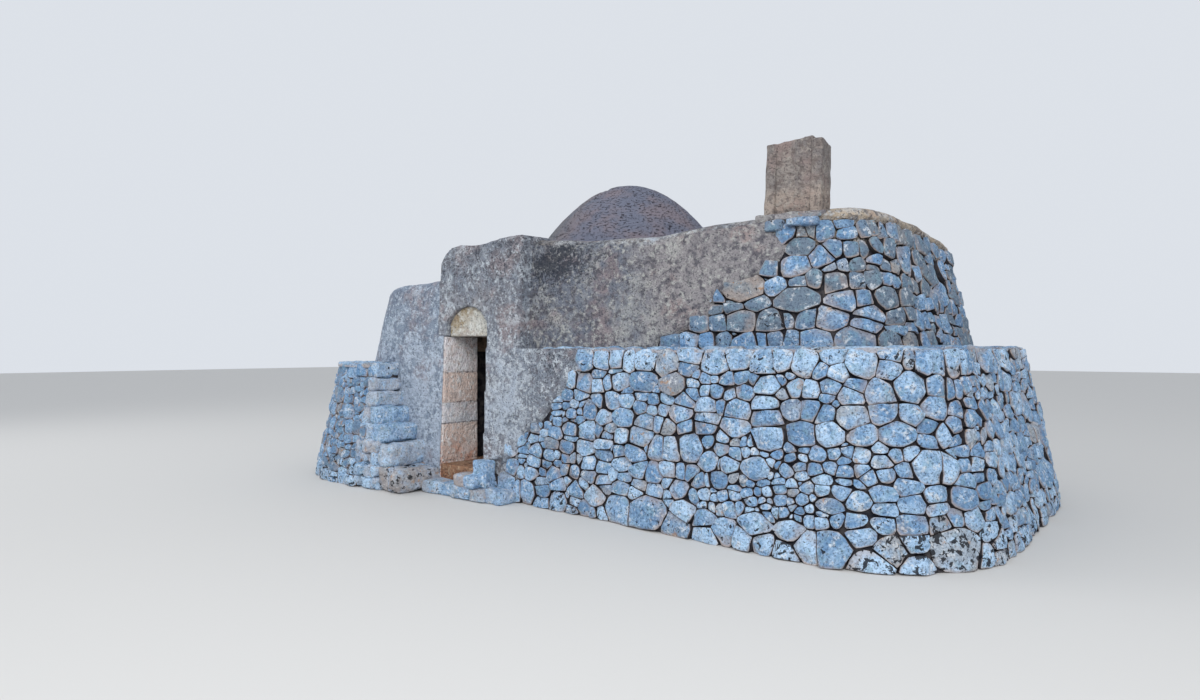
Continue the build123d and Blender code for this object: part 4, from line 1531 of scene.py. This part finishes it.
@dataclass
class Portal:
    """Arched doorway with its piers, lunette, lintels, threshold and passage."""

    plan: Plan
    materials: Materials
    courses: tuple[float, ...] = (0.33, 0.44, 0.25, 0.36, 0.43)
    course_warmth: tuple[float, ...] = (1.0, 0.9, 0.0, 0.8, 0.2)
    course_white: tuple[float, ...] = (0.0, 0.2, 0.9, 0.1, 0.5)
    platform_widths: tuple[float, ...] = (0.34, 0.24, 0.30, 0.22, 0.26)
    platform_marks: tuple[tuple[float, float], ...] = ((0.4, 1), (0.5, 1), (0.1, 0.5), (0.1, 0.5))

    def build(self) -> None:
        """Makes the plastered arch, the jamb blocks and the stones of the doorway."""
        made = self.materials
        Weathered(
            "portal_plaster", ("portal_head", "portal_right_pier"), 0.02, 0.004, 0.012, 31, self.tint, 0.35,
            lambda p, n: -0.06 * smooth(0.40, 0.34, p[:, 2] - 0.4 * (p[:, 0] + 0.1)) * (n[:, 1] < -0.3),
        ).build(Slot.PLASTER, made.portal_plaster)
        jamb = Weathered("jamb_blocks", ("portal_left_jamb",), 0.015, 0.001, 0.005, 32, self.jamb_tint, 0.2)
        jamb.build(Slot.TUFA, made.jamb_stone)
        for node, material, slot, voxel in (
            ("lunette_slab", made.lunette_plaster, Slot.PLASTER, 0.015),
            ("inner_lintel", made.sawn_tufa, Slot.TUFA, 0.015),
            ("threshold", made.worn_stone, Slot.WORN, 0.015),
            ("passage_ceiling", made.sawn_tufa, Slot.TUFA, 0.035),
            ("room_floor", made.worn_stone, Slot.WORN, 0.05),
            ("door_step", made.dry_stone, Slot.WORN, 0.012),
        ):
            tint, rough = self.small_tint, 0.006
            if material is made.dry_stone:
                tint, rough = self.stone_tint, 0.016
            copy = Weathered(node + "_worn", (node,), voxel, 0.0, rough, 33 + len(node), tint, 0.15)
            copy.build(slot, material)
        self.platform()

    def platform(self) -> None:
        """Makes the flat stones before the threshold."""
        rng = np.random.default_rng(9)
        low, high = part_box("door_platform")
        items, along = [], low.x
        for wide in self.platform_widths:
            tall, deep = rng.uniform(0.10, 0.145), rng.uniform(0.24, 0.30)
            wide = min(wide, high.x + 0.04 - along)
            centre = (along + wide / 2, high.y - deep / 2 + 0.01, tall / 2)
            mark = tuple(rng.uniform(*ends) for ends in self.platform_marks)
            items.append(Block(centre, (wide, deep, tall), rng.uniform(-7, 7), mark))
            along += wide * 0.97
        stones = blocks("platform_stones", items, 8, 0.2, 0.035)
        dress(stones, Slot.WORN, self.materials.dry_stone, "door_platform")

    def tint(self, points: Array) -> Array:
        """Grey on top, warm and worn low down on the right pier."""
        x, _, z = points.T
        return marks(
            0.15 + 0.35 * smooth(1.9, 2.7, z), 0.25 + 0.3 * smooth(0.9, 0.4, z), smooth(2.3, 1.3, z),
            0.4 * smooth(0.7, 0.3, z) * smooth(0.1, -0.1, x),
        )

    def stone_tint(self, points: Array) -> Array:
        """Block before the door: yellowish where it is a step, blue-grey beside the pier."""
        step = (points[:, 2] > 0.13) & (points[:, 0] < -0.13)
        return marks(0.7, 0.2 + 0.75 * step, 0.1 + 0.6 * step, 0.25)

    def jamb_tint(self, points: Array) -> Array:
        """Each block of the jamb with its own tone, brown to orange at the bottom."""
        z, beds = points[:, 2], np.cumsum(self.courses[:-1])
        course = np.searchsorted(beds, z)
        warmth, white = (np.array(values)[course] for values in (self.course_warmth, self.course_white))
        bed = np.exp(-((z[:, None] - beds) / 0.009) ** 2).max(1)
        return marks(0.1 + bed, warmth, white, 0.85 * smooth(0.72, 0.3, z))

    def small_tint(self, points: Array) -> Array:
        """Ochre at the upper left, partly real ochre and partly the painted shadow of the niche's upper
        left, orange near the ground.
        """
        x, _, z = points.T
        # Upper left: partly real ochre, partly painted shadow of the recessed niche
        ochre = smooth(-0.1, 0.35, (z - 1.98) * 1.2 - (x + 0.55))
        return marks(0.0, 0.1 + ochre, 0.6 * smooth(1.7, 1.9, z), smooth(0.5, 0.1, z))


@dataclass
class Roof:
    """Coping round the flat roof, and the dome on its drum."""

    plan: Plan
    materials: Materials

    def build(self) -> None:
        """Makes the weathered copies and paints the paving."""
        copings = ("coping_front", "coping_near_corner", "coping_side", "coping_rear", "coping_left")
        Weathered(
            "coping_plaster", copings, 0.029, 0.004, 0.014, 41, self.tint, 0.35, self.behind_facing
        ).build(Slot.PLASTER, self.materials.coping_plaster)
        Weathered(
            "dome_render", ("dome_ring", "dome_cap"), 0.028, 0.002, 0.006, 42, self.dome_tint, 0.5,
            lambda p, n: -0.022 * smooth(0.35, 0.75, noise(p * [1, 1, 1.8], 0.11, 5)),
        ).build(Slot.DOME, self.materials.dome_render)
        paving = frame["nodes"]["roof_paving"]
        paving.data.materials.clear()
        paving.data.materials.append(self.materials.paving)

    def behind_facing(self, points: Array, outward: Array) -> Array:
        """Sinks the coping's outer face behind the wall's facing, below the crest."""
        x, y, z = points.T
        away = outward[:, 0] * (x - 1.0) + outward[:, 1] * y
        return -0.06 * smooth(0.075, 0.11, self.plan.crest(x, y) - z) * (away > 0.3) * (x > -1.0)

    def tint(self, points: Array) -> Array:
        """Bluish white beside the portal, tan at the near corner."""
        x, y, _ = points.T
        pale = spot((x, 1.75, 0.35))
        front = (y < 0) * smooth(2.6, 1.8, x)
        return marks(0.12 + 0.45 * front * (1 - pale), 0.3 + 0.7 * smooth(2.9, 3.4, x), pale, 0.0)

    def dome_tint(self, points: Array) -> Array:
        """Olive at the left."""
        return marks(0.0, smooth(0.2, -1.0, points[:, 0]) * 0.8, 0.0, 0.0)


@dataclass
class Chimney:
    """Four upright slabs on a footing, with flat stones beside it."""

    materials: Materials

    def build(self) -> None:
        """Makes the weathered slabs and the footing."""
        made = self.materials
        for i, side in enumerate(("left", "right", "front", "back")):
            node = f"chimney_{side}_slab"
            copy = Weathered(node + "_worn", (node,), 0.012, 0.005, 0.012, 51 + i, self.tint, 0.18)
            copy.build(Slot.TUFA, made.sawn_tufa)
        foot = Weathered(
            "chimney_footing_worn", ("chimney_footing",), 0.018, 0.004, 0.03, 56, self.tint, 0.2
        )
        foot.build(Slot.STONE, made.wall_plaster)
        items = [
            Block((3.33, -1.80, 2.815), (0.29, 0.22, 0.07), 16.0, (0.0, 0.5, 0.2, 0.3)),
            Block((3.08, -1.83, 2.80), (0.17, 0.18, 0.09), 4.0, (-0.3, 0.6, 0.2, 0.5)),
            Block((3.28, -1.74, 2.88), (0.42, 0.2, 0.05), 8.0, (-0.7, 0.9, 0.4, 0.3)),
        ]
        dress(blocks("footing_slabs", items, 14, 0.2, 0.02), Slot.STONE, made.dry_stone)

    def tint(self, points: Array) -> Array:
        """Grey above, tan below."""
        z = points[:, 2]
        return marks(0.3 * smooth(3.1, 3.4, z), smooth(3.3, 3.0, z), 0.1, 0.0)


@dataclass
class Studio:
    """Pale floor, soft light and the camera of the photo."""

    centre: Vector
    floor_half: float = 60.0
    floor_drop: float = 0.002
    eye: tuple[float, float, float] = (6.201, -8.302, 1.65)
    bearing: float = 39.0
    film_width: float = 36.0
    focal_length: float = 22.5

    def build(self) -> None:
        """Makes the stage."""
        half = self.floor_half
        corners = np.array([(-half, -half, 0), (half, -half, 0), (half, half, 0), (-half, half, 0)])
        floor = mesh_object("floor", corners, np.array([(0, 1, 2, 3)]))
        floor.location.z = -self.floor_drop
        paint = Tree("floor_paint").surface({"Base Color": (0.62, 0.61, 0.59), "Roughness": 0.9})
        floor.data.materials.append(paint)
        world = bpy.data.worlds.new("studio")
        world.use_nodes = True
        sky = world.node_tree.nodes["Background"].inputs
        sky["Color"].default_value = (0.80, 0.84, 0.90, 1)
        sky["Strength"].default_value = 0.9
        bpy.context.scene.world = world
        self.lamp("key", (9.0, -13.0, 9.0), 1300.0)
        self.lamp("fill", (-11.0, -8.0, 9.0), 350.0)
        self.camera()

    def lamp(self, name: str, at: Sequence[float], power: float, size: float = 8.0) -> None:
        """Adds a large soft lamp aimed at the house."""
        light = bpy.data.lights.new(name, "AREA")
        light.size, light.energy = size, power
        obj = placed(name, light)
        obj.location = at
        obj.rotation_euler = (self.centre - obj.location).to_track_quat("-Z", "Y").to_euler()

    def camera(self) -> None:
        """Adds the camera where the photo was taken from."""
        data = bpy.data.cameras.new("camera")
        data.sensor_width, data.lens = self.film_width, self.focal_length
        obj = placed("camera", data)
        obj.location = self.eye
        obj.rotation_euler = (math.radians(90), 0, math.radians(self.bearing))
        bpy.context.scene.camera = obj
        bpy.context.scene.view_settings.view_transform = "Standard"


def main() -> None:
    """Builds the house in the order of its parts, then the studio."""
    plan, materials = Plan(), Materials.make()
    for part in (Core, LowerTier, UpperTier, Wing):
        part(plan, materials).build()
    Shoulder(materials).build()
    for part in (Portal, Roof):
        part(plan, materials).build()
    Chimney(materials).build()
    Studio(sum(cad_box, Vector()) / 2).build()


if __name__ == "__main__":
    main()
